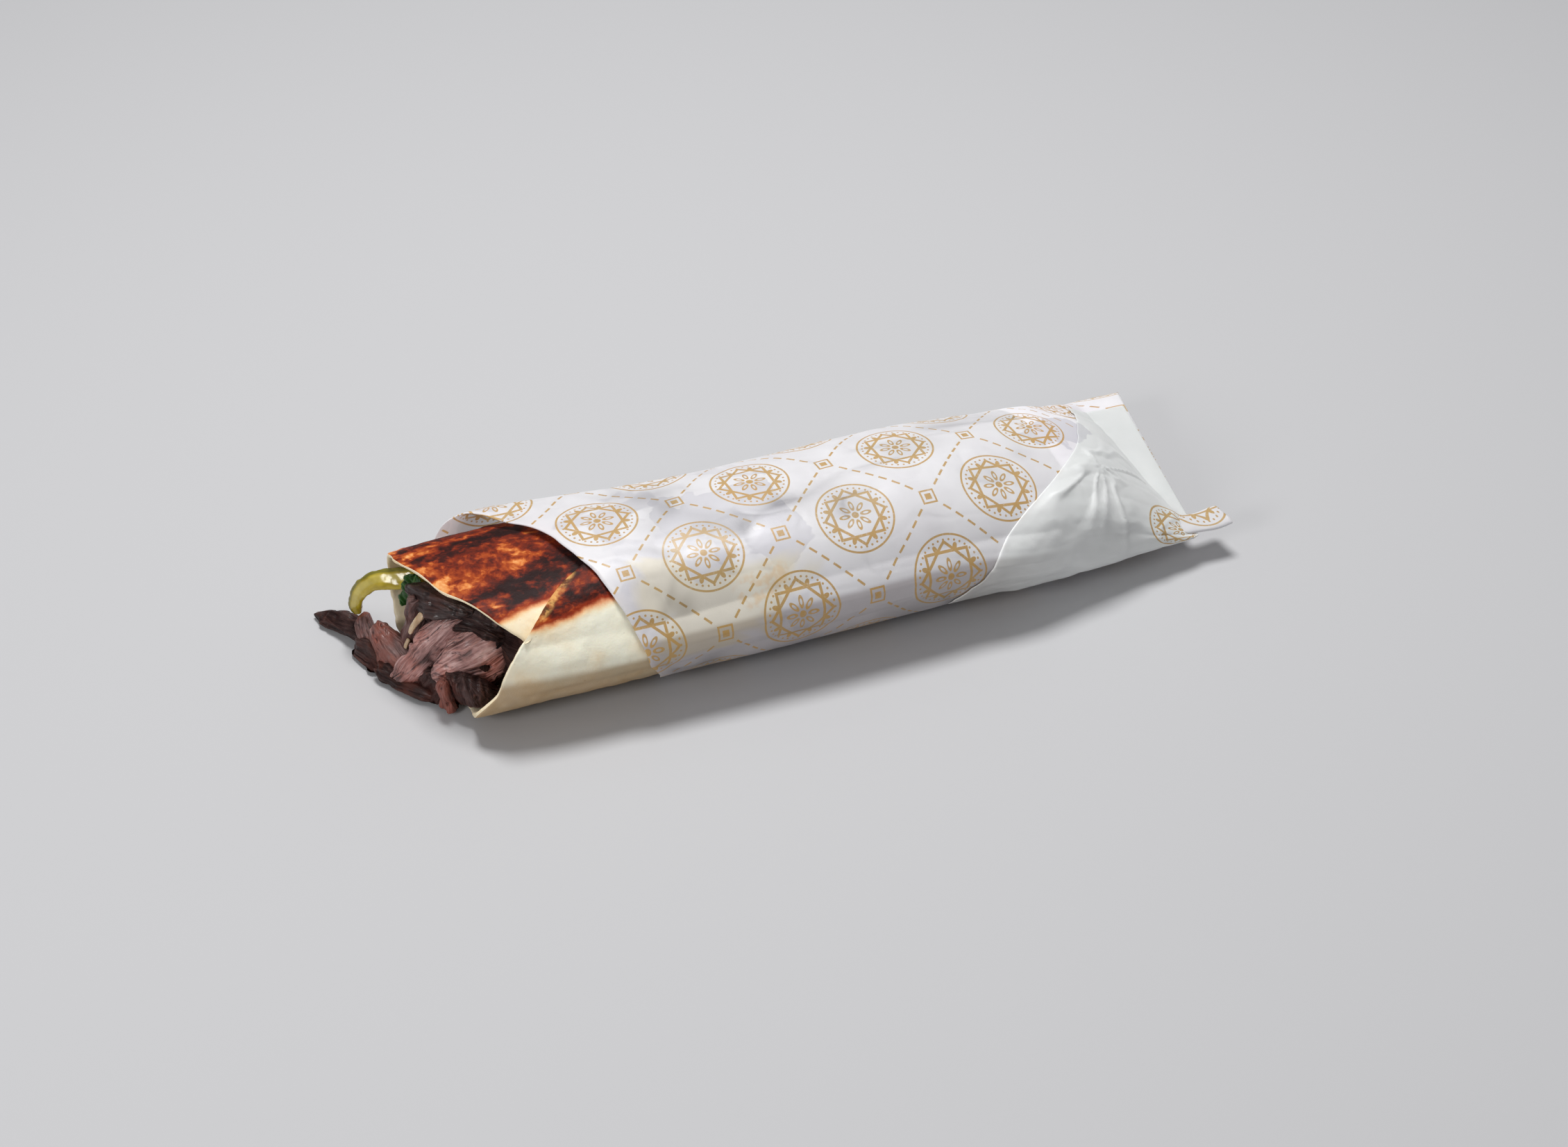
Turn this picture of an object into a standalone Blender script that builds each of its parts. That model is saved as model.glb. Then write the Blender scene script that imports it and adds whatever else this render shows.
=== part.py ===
"""A shawarma wrap lying on its flat underside.

A round flatbread is rolled about sliced beef, pickled pepper, onion and parsley, seen at its open mouth.
Greaseproof paper is wound about the roll, and its far end is pinched flat, with a folded tail.
The roll runs along X with its mouth towards -X, and the flap's seam is on its -Y side.
Lengths are written in millimetres and scaled to metres where a mesh is made.
"""

import math

import bmesh
import bpy
import numpy as np
from mathutils import Vector

MM = 0.001
COLLECTION = "shawarma_wrap"

# Driving dimensions, in millimetres. The mouth's foremost corner is at x = 0.
BREAD_END = 200.0
BREAD_THICKNESS = 1.4
LAYER_GAP = 0.4
PAPER_GAP = 0.5
PAPER_THICKNESS = 0.5
FOOD_GAP = 0.35
BREAD_LIFT = PAPER_GAP + PAPER_THICKNESS
CORE_DEPTH = 2 * BREAD_THICKNESS + LAYER_GAP + 0.6
MIDDLE_X, MIDDLE_Y = 120.6, 7.57

# The packed filling's share of its full section, at stations along X.
CORE_STATIONS = (
    (22, 0.0), (22.5, 0.5), (25, 0.8), (32, 0.96), (44, 1.0), (80, 1.0), (120, 1.0), (155, 1.0),
    (172, 1.0), (181, 0.96), (184.5, 0.75), (185, 0.0),
)  # fmt: skip

# The roll's outer skin at stations along X.
HALF_WIDTH = ((0, 29.3), (50, 32.0), (120, 32.7), (165, 33.0), (190, 34.0), (215, 36.0), (240, 38.0))
RISE = ((0, 21.0), (50, 23.0), (120, 24.4), (165, 24.4), (190, 23.5), (212, 19.8), (230, 8.8), (240, -0.3))
DROP = ((0, 17.0), (50, 19.0), (120, 20.0), (165, 19.2), (190, 14.6), (215, 8.5), (232, 3.0), (240, -0.3))
MIDDLE_HEIGHT = ((0, 17.0), (50, 19.0), (120, 20.0), (165, 19.2), (190, 16.2), (215, 12.8), (240, 11.6))
SIDE_SHIFT = ((0, 0.0), (165, 0.0), (190, 1.5), (215, 6.5), (240, 11.0))
SQUARENESS_ABOVE = ((0, 3.5), (12, 3.3), (50, 2.4), (120, 2.25), (240, 2.2))
SQUARENESS_BELOW = ((0, 2.3), (50, 2.1), (240, 2.1))

# Angles run from the far side (0) over the top (90) to the near side (180) and the underside (270).
BREAD_RIM = (
    (151, 26.4), (180, 17.8), (206, 11.4), (225, 12.0), (250, 13.0), (275, 11.0), (300, 6.2), (322, 3.8),
    (348, 3.7), (385, 3.0), (415, 2.4), (432, 2.7), (442, 4.6), (451, 8.3), (462, 13.6), (478, 18.2),
    (490, 20.8), (511, 26.4), (560, 36.0),
)  # fmt: skip
BREAD_INNER_EDGE = 560.0
BREAD_STATIONS = (
    0, 0.012, 0.024, 0.036, 0.048, 0.06, 0.085, 0.11, 0.14, 0.2, 0.28, 0.4, 0.55, 0.68, 0.78, 0.86, 0.93, 1,
)  # fmt: skip
# The sheet moves in under its own flap over this many degrees, this far past the flap's edge.
DIVE_START, DIVE_WIDTH = 290.0, 62.0
FLAP_FAN_END = 160.0
FLAP_EDGE = ((0.0, 151.0), (0.06, 123.0), (0.14, 106.0), (0.4, 82.0), (1.0, 72.0))
PAPER_RIM = (
    (-90, 46.0), (-60, 25.0), (-30, 18.0), (0, 17.0), (25, 22.0), (55, 33.0), (80, 43.0), (106, 49.5),
    (150, 56.0), (180, 60.0), (215, 66.0), (245, 66.0), (270, 46.0),
)  # fmt: skip
# The front edge flares by this much, between these angles, and less and less along the roll.
PAPER_FLARE = 4.0
FLARE_FROM, FLARE_FADE_IN = -40.0, 70.0
FLARE_TO, FLARE_FADE_OUT = 38.0, 30.0
FLARE_FULL_TO, FLARE_RUN_OUT = 35.0, 75.0
LIP_START = 240.0
# The share of the way to the fin's end, and the share of its thickness left there, before it closes.
LIP_ROUNDING = (0.96, 0.6)
TUBE_SHARES = (1.0, 0.95, 0.89, 0.8, 0.68, 0.5, 0.28, 0.12, 0.0)
FIN_SHARES = (0.17, 0.34, 0.5, 0.67, 0.84, 1.0)
FIN_END_FAR, FIN_END_NEAR = 256.0, 242.0
FIN_SLOPE = 0.05
OVERLAY_PROUD, OVERLAY_SHORT_OF_LIP = 0.45, 1.0
OVERLAY_SUNK_IN_WALL, OVERLAY_SUNK_IN_FIN = 0.2, 3.0
OVERLAY_SINK_START, OVERLAY_SINK_LENGTH = 204.0, 9.0
OVERLAY_EDGE = ((37.5, 233.0), (70, 226.0), (100, 212.0), (150, 177.0), (202.5, 157.0))

PICKLE_PATH = (
    (13, 16.6, 27.2), (6.5, 20.4, 26.7), (-1, 25.6, 24.7),
    (-5, 29.3, 20.0), (-6.3, 32.3, 13.6), (-5.4, 34.4, 8.2),
)  # fmt: skip
PICKLE_WIDTH, PICKLE_DEPTH = 6.2, 2.4
ONION_PATH = ((2.2, 4.8, 18.8), (3.9, 3.9, 22.4), (6.2, 2.9, 26.0))
ONION_WIDTH, ONION_DEPTH = 2.4, 1.3
LEAF_MIDDLE = (6.4, 15.4, 26.0)
LEAF_HALF_LENGTH, LEAF_HALF_WIDTH, LEAF_THICKNESS = 5.6, 3.0, 0.9
TAIL_PATH = ((230, -21, 11.4), (240, -22.5, 10.6), (247, -23, 10.2), (254, -22.5, 10.6))
TAIL_WIDTH, TAIL_DEPTH = 10.0, 2.2

# Each slice that reaches the underside lies this much higher there than the one before it.
SLICE_FLOOR_STEP = 0.04
# Slices of beef: middle, direction of the grain, direction that the flat faces, then length, width,
# thickness and bend.
SLICES = {
    "main_slab": ((9.2, -1.5, 14.4), (21, -11, 27), (-6, -7, 3), 35, 16.5, 5.0, 1.6),
    "folded_slab": ((17.0, -9.5, 17.1), (18, -5, 9), (-4, -8, 5), 26, 16, 5.2, 2.6),
    "top_dark": ((11.8, 3.0, 29.1), (11, -17, 1), (-3, -2, 8), 23.5, 9.5, 5.0, 1.0),
    "left_chunk": ((6.2, 9.6, 19.4), (-2, 5, -14), (-7, -5, 2), 20, 8.5, 6.0, -1.5),
    "side_strip": ((-5.5, 31.0, 3.4), (-14, 27, -1), (-1, 0, 8), 37, 8, 4.2, 1.5),
    "curl": ((-5.0, 25.5, 6.1), (-1, 8, 6), (-8, -3, 4), 15, 6, 3.6, 1.5),
    "dark_lump": ((-5.5, 21.0, 2.0), (3, -8, 1), (-4, -4, 6), 15, 10, 7.5, 0.5),
    "pink_lump": ((-0.6, 13.6, 7.1), (4, -9, -6), (-6, -3, 5), 20, 11, 7.0, 1.0),
    "low_brown": ((0.9, 3.9, 2.0), (8, -12, 0), (-6, -4, 5), 25, 10, 5.5, 0.5),
    "bottom_chunk": ((14.5, -12.5, 6.6), (-3, -3, 9), (-5, -8, 2), 17, 17, 7.0, 1.5),
    "red_strip": ((7.6, -11.0, 5.2), (-2, -2, 8), (-7, -5, 1), 15, 5, 4.5, 1.0),
    "dark_slice": ((5.5, -3.5, 3.2), (2, -4, 7), (-8, -4, 2), 17, 11, 6.0, -1.0),
    "right_dark": ((20.0, -7.5, 27.6), (9, -9, 0), (-3, -5, 7), 20, 11, 5.5, 0.8),
    "right_edge": ((28.0, -13.0, 25.6), (9, -9, -3), (-3, -6, 6), 20, 11, 5.5, 0.8),
    "knob": ((20.5, -9.5, 9.6), (5, -3, 4), (-4, -7, 3), 12, 8, 7.0, 0.5),
    "back_fill": ((23.0, 3.0, 18.6), (2, 8, 4), (-9, -2, 2), 34, 26, 12.0, 0.0),
}

MATERIALS = {
    "flatbread": ((0.78, 0.66, 0.43), 0.6),
    "beef": ((0.17, 0.085, 0.07), 0.4),
    "pickled_pepper": ((0.50, 0.44, 0.05), 0.25),
    "parsley": ((0.03, 0.11, 0.02), 0.5),
    "onion": ((0.70, 0.55, 0.33), 0.35),
    "greaseproof_paper": ((0.80, 0.79, 0.80), 0.45),
}


def curve_through(stations, at):
    """The value at each place on a smooth curve through (place, value) stations."""
    places, values = np.array(stations, float).T
    slopes = np.gradient(values, places)
    at = np.clip(at, places[0], places[-1])
    i = np.clip(np.searchsorted(places, at, side="right") - 1, 0, len(places) - 2)
    step = places[i + 1] - places[i]
    t = (at - places[i]) / step
    return (
        (1 + 2 * t) * (1 - t) ** 2 * values[i]
        + t * (1 - t) ** 2 * step * slopes[i]
        + t * t * (3 - 2 * t) * values[i + 1]
        + t * t * (t - 1) * step * slopes[i + 1]
    )


def ease(t):
    """0 before 0 and 1 after 1, with a smooth rise between."""
    t = np.clip(t, 0.0, 1.0)
    return t * t * (3 - 2 * t)


def roll_points(x, angle, outset):
    """Points on the roll's skin at x and an angle in degrees, moved out by outset. The underside is flat."""
    x, angle, outset = np.broadcast_arrays(*(np.asarray(value, float) for value in (x, angle, outset)))
    cos, sin = np.cos(np.radians(angle)), np.sin(np.radians(angle))
    above = sin >= 0
    power = 2.0 / np.where(above, curve_through(SQUARENESS_ABOVE, x), curve_through(SQUARENESS_BELOW, x))
    reach = np.where(above, curve_through(RISE, x), curve_through(DROP, x))
    across = np.sign(cos) * np.abs(cos) ** power * (curve_through(HALF_WIDTH, x) + outset)
    up = np.sign(sin) * np.abs(sin) ** power * np.maximum(reach + outset, 0.0)
    slope = FIN_SLOPE * ease((x - BREAD_END) / (LIP_START - BREAD_END)) * across
    height = np.maximum(curve_through(MIDDLE_HEIGHT, x) + slope + up, BREAD_LIFT - outset)
    return np.stack([x, across + curve_through(SIDE_SHIFT, x), height], axis=-1)


def new_object(name, mesh_or_curve, material):
    """An object in the part's collection, with its own material."""
    made = bpy.data.objects.new(name, mesh_or_curve)
    bpy.data.collections[COLLECTION].objects.link(made)
    if material:
        made.data.materials.append(bpy.data.materials[material])
    return made


def grid_object(name, points, material=None):
    """A grid whose points lie at an array of rows by columns by 3. Edges that meet are joined."""
    rows, columns = points.shape[:2]
    mesh = bpy.data.meshes.new(name)
    shape = bmesh.new()
    bmesh.ops.create_grid(shape, x_segments=columns - 1, y_segments=rows - 1, size=1.0)
    for vertex in shape.verts:
        column = round((vertex.co.x + 1) / 2 * (columns - 1))
        row = round((vertex.co.y + 1) / 2 * (rows - 1))
        vertex.co = Vector(points[row, column] * MM)
    bmesh.ops.remove_doubles(shape, verts=shape.verts, dist=1e-7)
    shape.to_mesh(mesh)
    shape.free()
    return new_object(name, mesh, material)


def close_and_turn_out(made):
    """Closes a skin's open ends and makes its faces point outwards."""
    shape = bmesh.new()
    shape.from_mesh(made.data)
    bmesh.ops.holes_fill(shape, edges=shape.edges)
    bmesh.ops.recalc_face_normals(shape, faces=shape.faces)
    if shape.calc_volume(signed=True) < 0:
        bmesh.ops.reverse_faces(shape, faces=shape.faces)
    shape.to_mesh(made.data)
    shape.free()
    return made


def smooth(made):
    """Shades a round piece smooth, with its creases kept."""
    made.data.shade_smooth()
    made.data.set_sharp_from_angle(angle=math.radians(50))
    return made


def apply_modifiers(made):
    """Replaces an object's mesh by its evaluated one."""
    bpy.context.view_layer.update()
    evaluated = made.evaluated_get(bpy.context.evaluated_depsgraph_get())
    mesh = bpy.data.meshes.new_from_object(evaluated)
    made.modifiers.clear()
    made.data = mesh
    return made


def bread_sheet_points(rim_ahead=0.0):
    """The rolled flatbread's outer face, from its free flap round and under it to the edge inside."""
    along = np.array(BREAD_STATIONS)[:, None]
    flap = curve_through(FLAP_EDGE, along)
    fan = np.linspace(0, 1, 12)[None, :]
    rest = np.arange(FLAP_FAN_END, BREAD_INNER_EDGE + 1, 8.0)[None, 1:]
    angle = np.hstack([flap + fan * (FLAP_FAN_END - flap), rest * np.ones_like(along)])
    first = FLAP_EDGE[0][1]
    share = (angle - flap) / (BREAD_INNER_EDGE - flap)
    rim = curve_through(BREAD_RIM, first + share * (BREAD_INNER_EDGE - first)) - rim_ahead
    x = rim + along * (BREAD_END - rim)
    under = ease((angle - flap - DIVE_START) / DIVE_WIDTH)
    return roll_points(x, angle, -(BREAD_THICKNESS + LAYER_GAP) * under)


def build_bread():
    """The flatbread as one rolled sheet whose outer flap lies over its first turn."""
    bread = grid_object("bread", bread_sheet_points(), "flatbread")
    thicken(bread, BREAD_THICKNESS)
    return smooth(bread)


def thicken(sheet, thickness, proud=0.0):
    """Gives an open sheet its thickness on its inner side, and proud more on its outer side."""
    solidify = sheet.modifiers.new("thickness", "SOLIDIFY")
    solidify.thickness = (thickness + proud) * MM
    solidify.offset = -1 + 2 * proud / (thickness + proud)
    solidify.use_even_offset = True


def lumps(points, phase, size):
    """A soft unevenness of about size for points in millimetres, different for each phase."""
    x, y, z = (points * 0.45).transpose(-1, *range(points.ndim - 1))
    wave = np.sin(x * 1.3 + phase) * np.cos(y * 1.1 - phase * 2) + np.sin(z * 1.7 + phase * 3 + x * 0.6)
    return size * wave[..., None]


def slice_points(index, middle, grain, face, length, width, thickness, bend):
    """The closed skin of a slice of meat: a flat oval bar that bends along its grain, with lumpy edges."""
    rows, columns = 10, 12
    grain = Vector(grain).normalized()
    across = Vector(face).cross(grain).normalized()
    face = grain.cross(across)
    along = -np.cos(np.linspace(0, math.pi, rows))[:, None]
    around = np.linspace(0, 2 * math.pi, columns + 1)[None, :]
    round_off = np.sqrt(np.clip(1 - np.abs(along) ** 3.0, 0, 1))
    side = np.sign(np.cos(around)) * np.abs(np.cos(around)) ** 0.7 * round_off * width / 2
    depth = np.sin(around) * round_off * thickness / 2
    side = side * (1 + 0.16 * np.sin(along * 3 + index))
    lift = depth + bend * (0.4 - along**2) + 0.05 * width * np.sin(side * 0.5 + index)
    frame = np.array([grain, across, face])
    local = np.stack(np.broadcast_arrays(along * length / 2, side, lift), axis=-1)
    points = local @ frame + np.array(middle)
    inward = (points - points.mean(axis=1, keepdims=True)) / max(width, 1)
    points = points + inward * lumps(points, index, 0.9)
    points[..., 2] = np.maximum(points[..., 2], BREAD_LIFT + SLICE_FLOOR_STEP * index)
    return points


def build_core():
    """The packed filling that runs through the roll, behind the slices that show."""
    around = np.linspace(0, 360, 33)
    rings = []
    for x, share in CORE_STATIONS:
        ring = roll_points(x, around, -CORE_DEPTH)
        centre = ring.mean(axis=0)
        rings.append(centre + (ring - centre) * share)
    return close_and_turn_out(grid_object("core", np.array(rings)))


def gathered(name, members):
    """A helper collection that holds members, outside what is rendered."""
    helpers = bpy.data.collections.new(name)
    helpers.hide_render = True
    bpy.context.scene.collection.children.link(helpers)
    for member in members:
        bpy.data.collections[COLLECTION].objects.unlink(member)
        helpers.objects.link(member)
        member.hide_render = True
        member.display_type = "WIRE"
    return helpers


def combine(made, operation, members):
    """Joins members to an object or cuts them from it with one Boolean, and removes them."""
    helpers = gathered("helpers", members)
    boolean = made.modifiers.new(operation.lower(), "BOOLEAN")
    boolean.operation = operation
    boolean.solver = "MANIFOLD"
    boolean.operand_type = "COLLECTION"
    boolean.collection = helpers
    apply_modifiers(made)
    for member in members:
        bpy.data.objects.remove(member)
    bpy.data.collections.remove(helpers)
    return made


def keep_largest_body(made):
    """Drops loose scraps and fills sealed hollows that a Boolean has left."""
    shape = bmesh.new()
    shape.from_mesh(made.data)
    bmesh.ops.triangulate(shape, faces=shape.faces)
    left, bodies = set(shape.faces), []
    while left:
        front = [left.pop()]
        body = set(front)
        while front:
            manifold_edges = [edge for edge in front.pop().edges if edge.is_manifold]
            for face in (face for edge in manifold_edges for face in edge.link_faces):
                if face not in body:
                    body.add(face)
                    front.append(face)
        left -= body
        bodies.append(body)
    largest = max(bodies, key=len)
    scraps = [face for face in shape.faces if face not in largest]
    bmesh.ops.delete(shape, geom=scraps, context="FACES")
    shape.to_mesh(made.data)
    shape.free()
    return made


def build_filling(rooms):
    """Beef slices fused on the core, cut clear of the bread and of the toppings."""
    filling = build_core()
    filling.name = "beef_filling"
    filling.data.materials.append(bpy.data.materials["beef"])
    slices = [
        close_and_turn_out(grid_object(name, slice_points(index, *shape)))
        for index, (name, shape) in enumerate(SLICES.items())
    ]
    combine(filling, "UNION", slices)
    combine(filling, "DIFFERENCE", rooms)
    keep_largest_body(filling)
    return smooth(filling)


def bar_points(path, width, depth, taper, rows, columns, face=(0, 0, 1)):
    """A flat bar swept along a smooth curve through a path. taper gives its share of full size."""
    path = np.array(path, float)
    places = np.linspace(0, 1, len(path))
    at = np.linspace(0, 1, rows)
    line = np.stack([curve_through(list(zip(places, path[:, k])), at) for k in range(3)], axis=-1)
    run = np.gradient(line, axis=0)
    run /= np.linalg.norm(run, axis=1, keepdims=True)
    across = np.cross(np.array(face, float), run)
    across /= np.linalg.norm(across, axis=1, keepdims=True)
    lift = np.cross(run, across)
    around = np.linspace(0, 2 * math.pi, columns + 1)
    ends = np.clip(1 - np.abs(2 * at - 1) ** 8, 0, 1) ** 0.5
    share = (curve_through(taper, at) * ends)[:, None, None]
    side = (np.cos(around) * width / 2)[None, :, None]
    rise = (np.sin(around) * depth / 2)[None, :, None]
    return line[:, None, :] + share * (side * across[:, None, :] + rise * lift[:, None, :])


def build_pickle(name, grow=0.0, material=None):
    """The strip of pickled pepper that arches out of the mouth. grow makes it larger all round."""
    width, depth = PICKLE_WIDTH + 2 * grow, PICKLE_DEPTH + 2 * grow
    taper = ((0, 1.0), (0.4, 0.95), (1, 0.62))
    points = bar_points(PICKLE_PATH, width, depth, taper, 12, 10, face=(-3, -7, 5))
    return smooth(close_and_turn_out(grid_object(name, points, material)))


def build_onion(name, grow=0.0, material=None):
    """A pale shred of onion that lies over the slices."""
    width, depth = ONION_WIDTH + 2 * grow, ONION_DEPTH + 2 * grow
    points = bar_points(ONION_PATH, width, depth, ((0, 0.6), (1, 1)), 8, 8, face=(-6, -4, 5))
    return smooth(close_and_turn_out(grid_object(name, points, material)))


def build_leaf(name, grow=0.0, material=None):
    """A thin wavy leaf of parsley tucked in beside the pickle."""
    rows, columns = 9, 7
    u = np.linspace(-1, 1, rows)[:, None]
    v = np.linspace(-1, 1, columns)[None, :]
    half_length, half_width = LEAF_HALF_LENGTH + grow, LEAF_HALF_WIDTH + grow
    outline = np.sqrt(np.clip(1.06 - u**2, 0, 1)) * (1 + 0.12 * np.cos(u * 9))
    down = np.array([-0.30, 0.10, -0.95])
    aside = np.array([-0.55, 0.80, 0.26])
    normal = np.cross(down, aside)
    wave = 0.7 * np.sin(u * 4 + 1) * v + 0.5 * np.cos(v * 3)
    points = (
        np.array(LEAF_MIDDLE)
        + (u * half_length * np.ones_like(v))[..., None] * down
        + (v * outline * half_width)[..., None] * aside
        + wave[..., None] * normal
    )
    leaf = grid_object(name, points, material)
    thicken(leaf, LEAF_THICKNESS / 2 + grow, proud=LEAF_THICKNESS / 2 + grow)
    return smooth(apply_modifiers(leaf))


def bread_room():
    """The space the filling leaves to the bread."""
    room = grid_object("bread_room", bread_sheet_points(rim_ahead=FOOD_GAP))
    thicken(room, BREAD_THICKNESS + FOOD_GAP, proud=FOOD_GAP)
    return apply_modifiers(room)


def paper_outset(x, angle):
    """How far the paper's inner face stands off the bread: loose at the far top of its front edge."""
    turned = (np.asarray(angle, float) + 90) % 360 - 90
    on_far_top = ease((turned - FLARE_FROM) / FLARE_FADE_IN) * (1 - ease((turned - FLARE_TO) / FLARE_FADE_OUT))
    near_front = 1 - ease((np.asarray(x, float) - FLARE_FULL_TO) / FLARE_RUN_OUT)
    return PAPER_GAP + PAPER_FLARE * on_far_top * near_front


def fin_end(across):
    """The slanted end of the pinched paper, at each place across it."""
    half = HALF_WIDTH[-1][1]
    share = (across - SIDE_SHIFT[-1][1] + half) / (2 * half)
    return FIN_END_NEAR + share * (FIN_END_FAR - FIN_END_NEAR)


def paper_rings():
    """Rings from the hollow's end out along the inner face, round the front edge and back to the lip."""
    around = np.linspace(-90, 270, 49)
    rim = curve_through(PAPER_RIM, around)
    hollow_end = BREAD_END + PAPER_GAP
    rings = [np.tile(roll_points(hollow_end, around, PAPER_GAP).mean(axis=0), (len(around), 1))]
    stations = [rim + share * (hollow_end - rim) for share in TUBE_SHARES]
    rings += [roll_points(x, around, paper_outset(x, around)) for x in stations]
    stations = stations[::-1] + [hollow_end + share * (LIP_START - hollow_end) for share in FIN_SHARES]
    rings += [roll_points(x, around, paper_outset(x, around) + PAPER_THICKNESS) for x in stations]
    lip = rings[-1]
    rings.append(lip_ring(lip, around, *LIP_ROUNDING))
    rings.append(lip_ring(lip, around, 1.0, 0.0))
    return np.array(rings)


def lip_ring(lip, around, share, thickness):
    """The lip's first ring moved a share of the way to the fin's slanted end, and made thinner."""
    moved = lip.copy()
    mirrored = np.interp((-around + 90) % 360 - 90, around, lip[:, 2])
    middle = (lip[:, 2] + mirrored) / 2
    moved[:, 0] += share * (fin_end(lip[:, 1]) - lip[:, 0])
    moved[:, 2] = middle + thickness * (lip[:, 2] - middle)
    return moved


def build_tail():
    """The rolled tail of paper that sticks out of the fin's near corner."""
    taper = ((0, 0.9), (0.6, 1.0), (1, 0.95))
    points = bar_points(TAIL_PATH, TAIL_WIDTH, TAIL_DEPTH, taper, 7, 12)
    end = points[-2].copy()
    end[:, 0] = TAIL_PATH[-1][0]
    points[-1] = end
    return close_and_turn_out(grid_object("tail", points))


def build_overlay():
    """The paper's outer turn, whose slanted free edge crosses the top near the fin."""
    rows, columns = 23, 12
    around = np.linspace(OVERLAY_EDGE[0][0], OVERLAY_EDGE[-1][0], rows)[:, None]
    edge = curve_through(OVERLAY_EDGE, around)
    there = np.linspace(0, 1, columns)
    along = np.concatenate([there, there[::-1], there[:1]])
    on_top = np.concatenate([np.ones(columns), np.zeros(columns), [1.0]])
    x = edge + along * (LIP_START - OVERLAY_SHORT_OF_LIP - edge)
    in_fin = ease((x - OVERLAY_SINK_START) / OVERLAY_SINK_LENGTH)
    sunk = OVERLAY_SUNK_IN_WALL + (OVERLAY_SUNK_IN_FIN - OVERLAY_SUNK_IN_WALL) * in_fin
    depth = on_top * OVERLAY_PROUD - (1 - on_top) * sunk
    outset = paper_outset(x, around) + PAPER_THICKNESS + depth
    return close_and_turn_out(grid_object("overlay", roll_points(x, around, outset)))


def build_paper():
    """The greaseproof paper: a tube about the roll, solid where its end is pinched into a fin."""
    paper = close_and_turn_out(grid_object("paper", paper_rings(), "greaseproof_paper"))
    combine(paper, "UNION", [build_tail(), build_overlay()])
    return smooth(keep_largest_body(paper))


def make_material(name, colour, roughness):
    """A Principled material in a plain colour."""
    material = bpy.data.materials.new(name)
    material.use_nodes = True
    shader = material.node_tree.nodes["Principled BSDF"]
    shader.inputs["Base Color"].default_value = (*colour, 1)
    shader.inputs["Roughness"].default_value = roughness
    shader.inputs["Metallic"].default_value = 0.0
    material.diffuse_color = (*colour, 1)


def main():
    for old in list(bpy.data.objects):
        bpy.data.objects.remove(old)
    bpy.context.scene.collection.children.link(bpy.data.collections.new(COLLECTION))
    for name, (colour, roughness) in MATERIALS.items():
        make_material(name, colour, roughness)

    rooms = [
        bread_room(),
        build_pickle("pickle_room", grow=FOOD_GAP),
        build_onion("onion_room", grow=FOOD_GAP),
        build_leaf("leaf_room", grow=FOOD_GAP),
    ]
    parts = [
        build_bread(),
        build_filling(rooms),
        build_pickle("pickle_strip", material="pickled_pepper"),
        build_onion("onion_shred", material="onion"),
        build_leaf("parsley_leaf", material="parsley"),
        build_paper(),
    ]
    stand = bpy.data.objects.new("wrap", None)
    bpy.data.collections[COLLECTION].objects.link(stand)
    stand.location = Vector((-MIDDLE_X, -MIDDLE_Y, 0)) * MM
    for part in parts:
        part.parent = stand
    bpy.context.view_layer.update()


main()
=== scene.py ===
"""The looks of the shawarma wrap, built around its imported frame.

Shapes are worked out in millimetres in the roll's own frame, whose origin lies under the mouth's far
corner, and moved to the row frame in metres where a mesh is made. Angles run round the roll from the far
side (0) over the top (90) to the near side (180) and the underside (270).
"""

import math
from functools import partialmethod, reduce

import bmesh
import bpy
import numpy as np
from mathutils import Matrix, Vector


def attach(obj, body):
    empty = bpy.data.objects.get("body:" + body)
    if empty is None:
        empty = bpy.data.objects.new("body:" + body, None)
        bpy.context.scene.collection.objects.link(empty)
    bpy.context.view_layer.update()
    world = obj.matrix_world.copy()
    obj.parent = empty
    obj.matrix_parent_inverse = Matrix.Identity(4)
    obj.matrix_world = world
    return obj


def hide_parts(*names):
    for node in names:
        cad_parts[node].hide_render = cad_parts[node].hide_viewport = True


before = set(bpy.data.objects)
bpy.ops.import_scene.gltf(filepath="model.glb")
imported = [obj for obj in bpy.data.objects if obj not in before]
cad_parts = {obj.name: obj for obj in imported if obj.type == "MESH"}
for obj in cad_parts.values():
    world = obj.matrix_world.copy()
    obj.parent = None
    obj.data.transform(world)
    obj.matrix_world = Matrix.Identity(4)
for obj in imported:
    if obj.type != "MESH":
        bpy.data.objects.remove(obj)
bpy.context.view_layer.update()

MM = 0.001
MIDDLE_X, MIDDLE_Y = 120.6, 7.57

# The same driving sizes as the part's source.
BREAD_END = 200.0
BREAD_THICKNESS = 1.4
LAYER_GAP = 0.4
PAPER_GAP = 0.5
PAPER_THICKNESS = 0.5
FOOD_GAP = 0.35
BREAD_LIFT = PAPER_GAP + PAPER_THICKNESS
CORE_DEPTH = 2 * BREAD_THICKNESS + LAYER_GAP + 0.6
HALF_WIDTH = ((0, 29.3), (50, 32.0), (120, 32.7), (165, 33.0), (190, 34.0), (215, 36.0), (240, 38.0))
RISE = ((0, 21.0), (50, 23.0), (120, 24.4), (165, 24.4), (190, 23.5), (212, 19.8), (230, 8.8), (240, -0.3))
DROP = ((0, 17.0), (50, 19.0), (120, 20.0), (165, 19.2), (190, 14.6), (215, 8.5), (232, 3.0), (240, -0.3))
MIDDLE_HEIGHT = ((0, 17.0), (50, 19.0), (120, 20.0), (165, 19.2), (190, 16.2), (215, 12.8), (240, 11.6))
SIDE_SHIFT = ((0, 0.0), (165, 0.0), (190, 1.5), (215, 6.5), (240, 11.0))
SQUARENESS_ABOVE = ((0, 3.5), (12, 3.3), (50, 2.4), (120, 2.25), (240, 2.2))
SQUARENESS_BELOW = ((0, 2.3), (50, 2.1), (240, 2.1))
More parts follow.
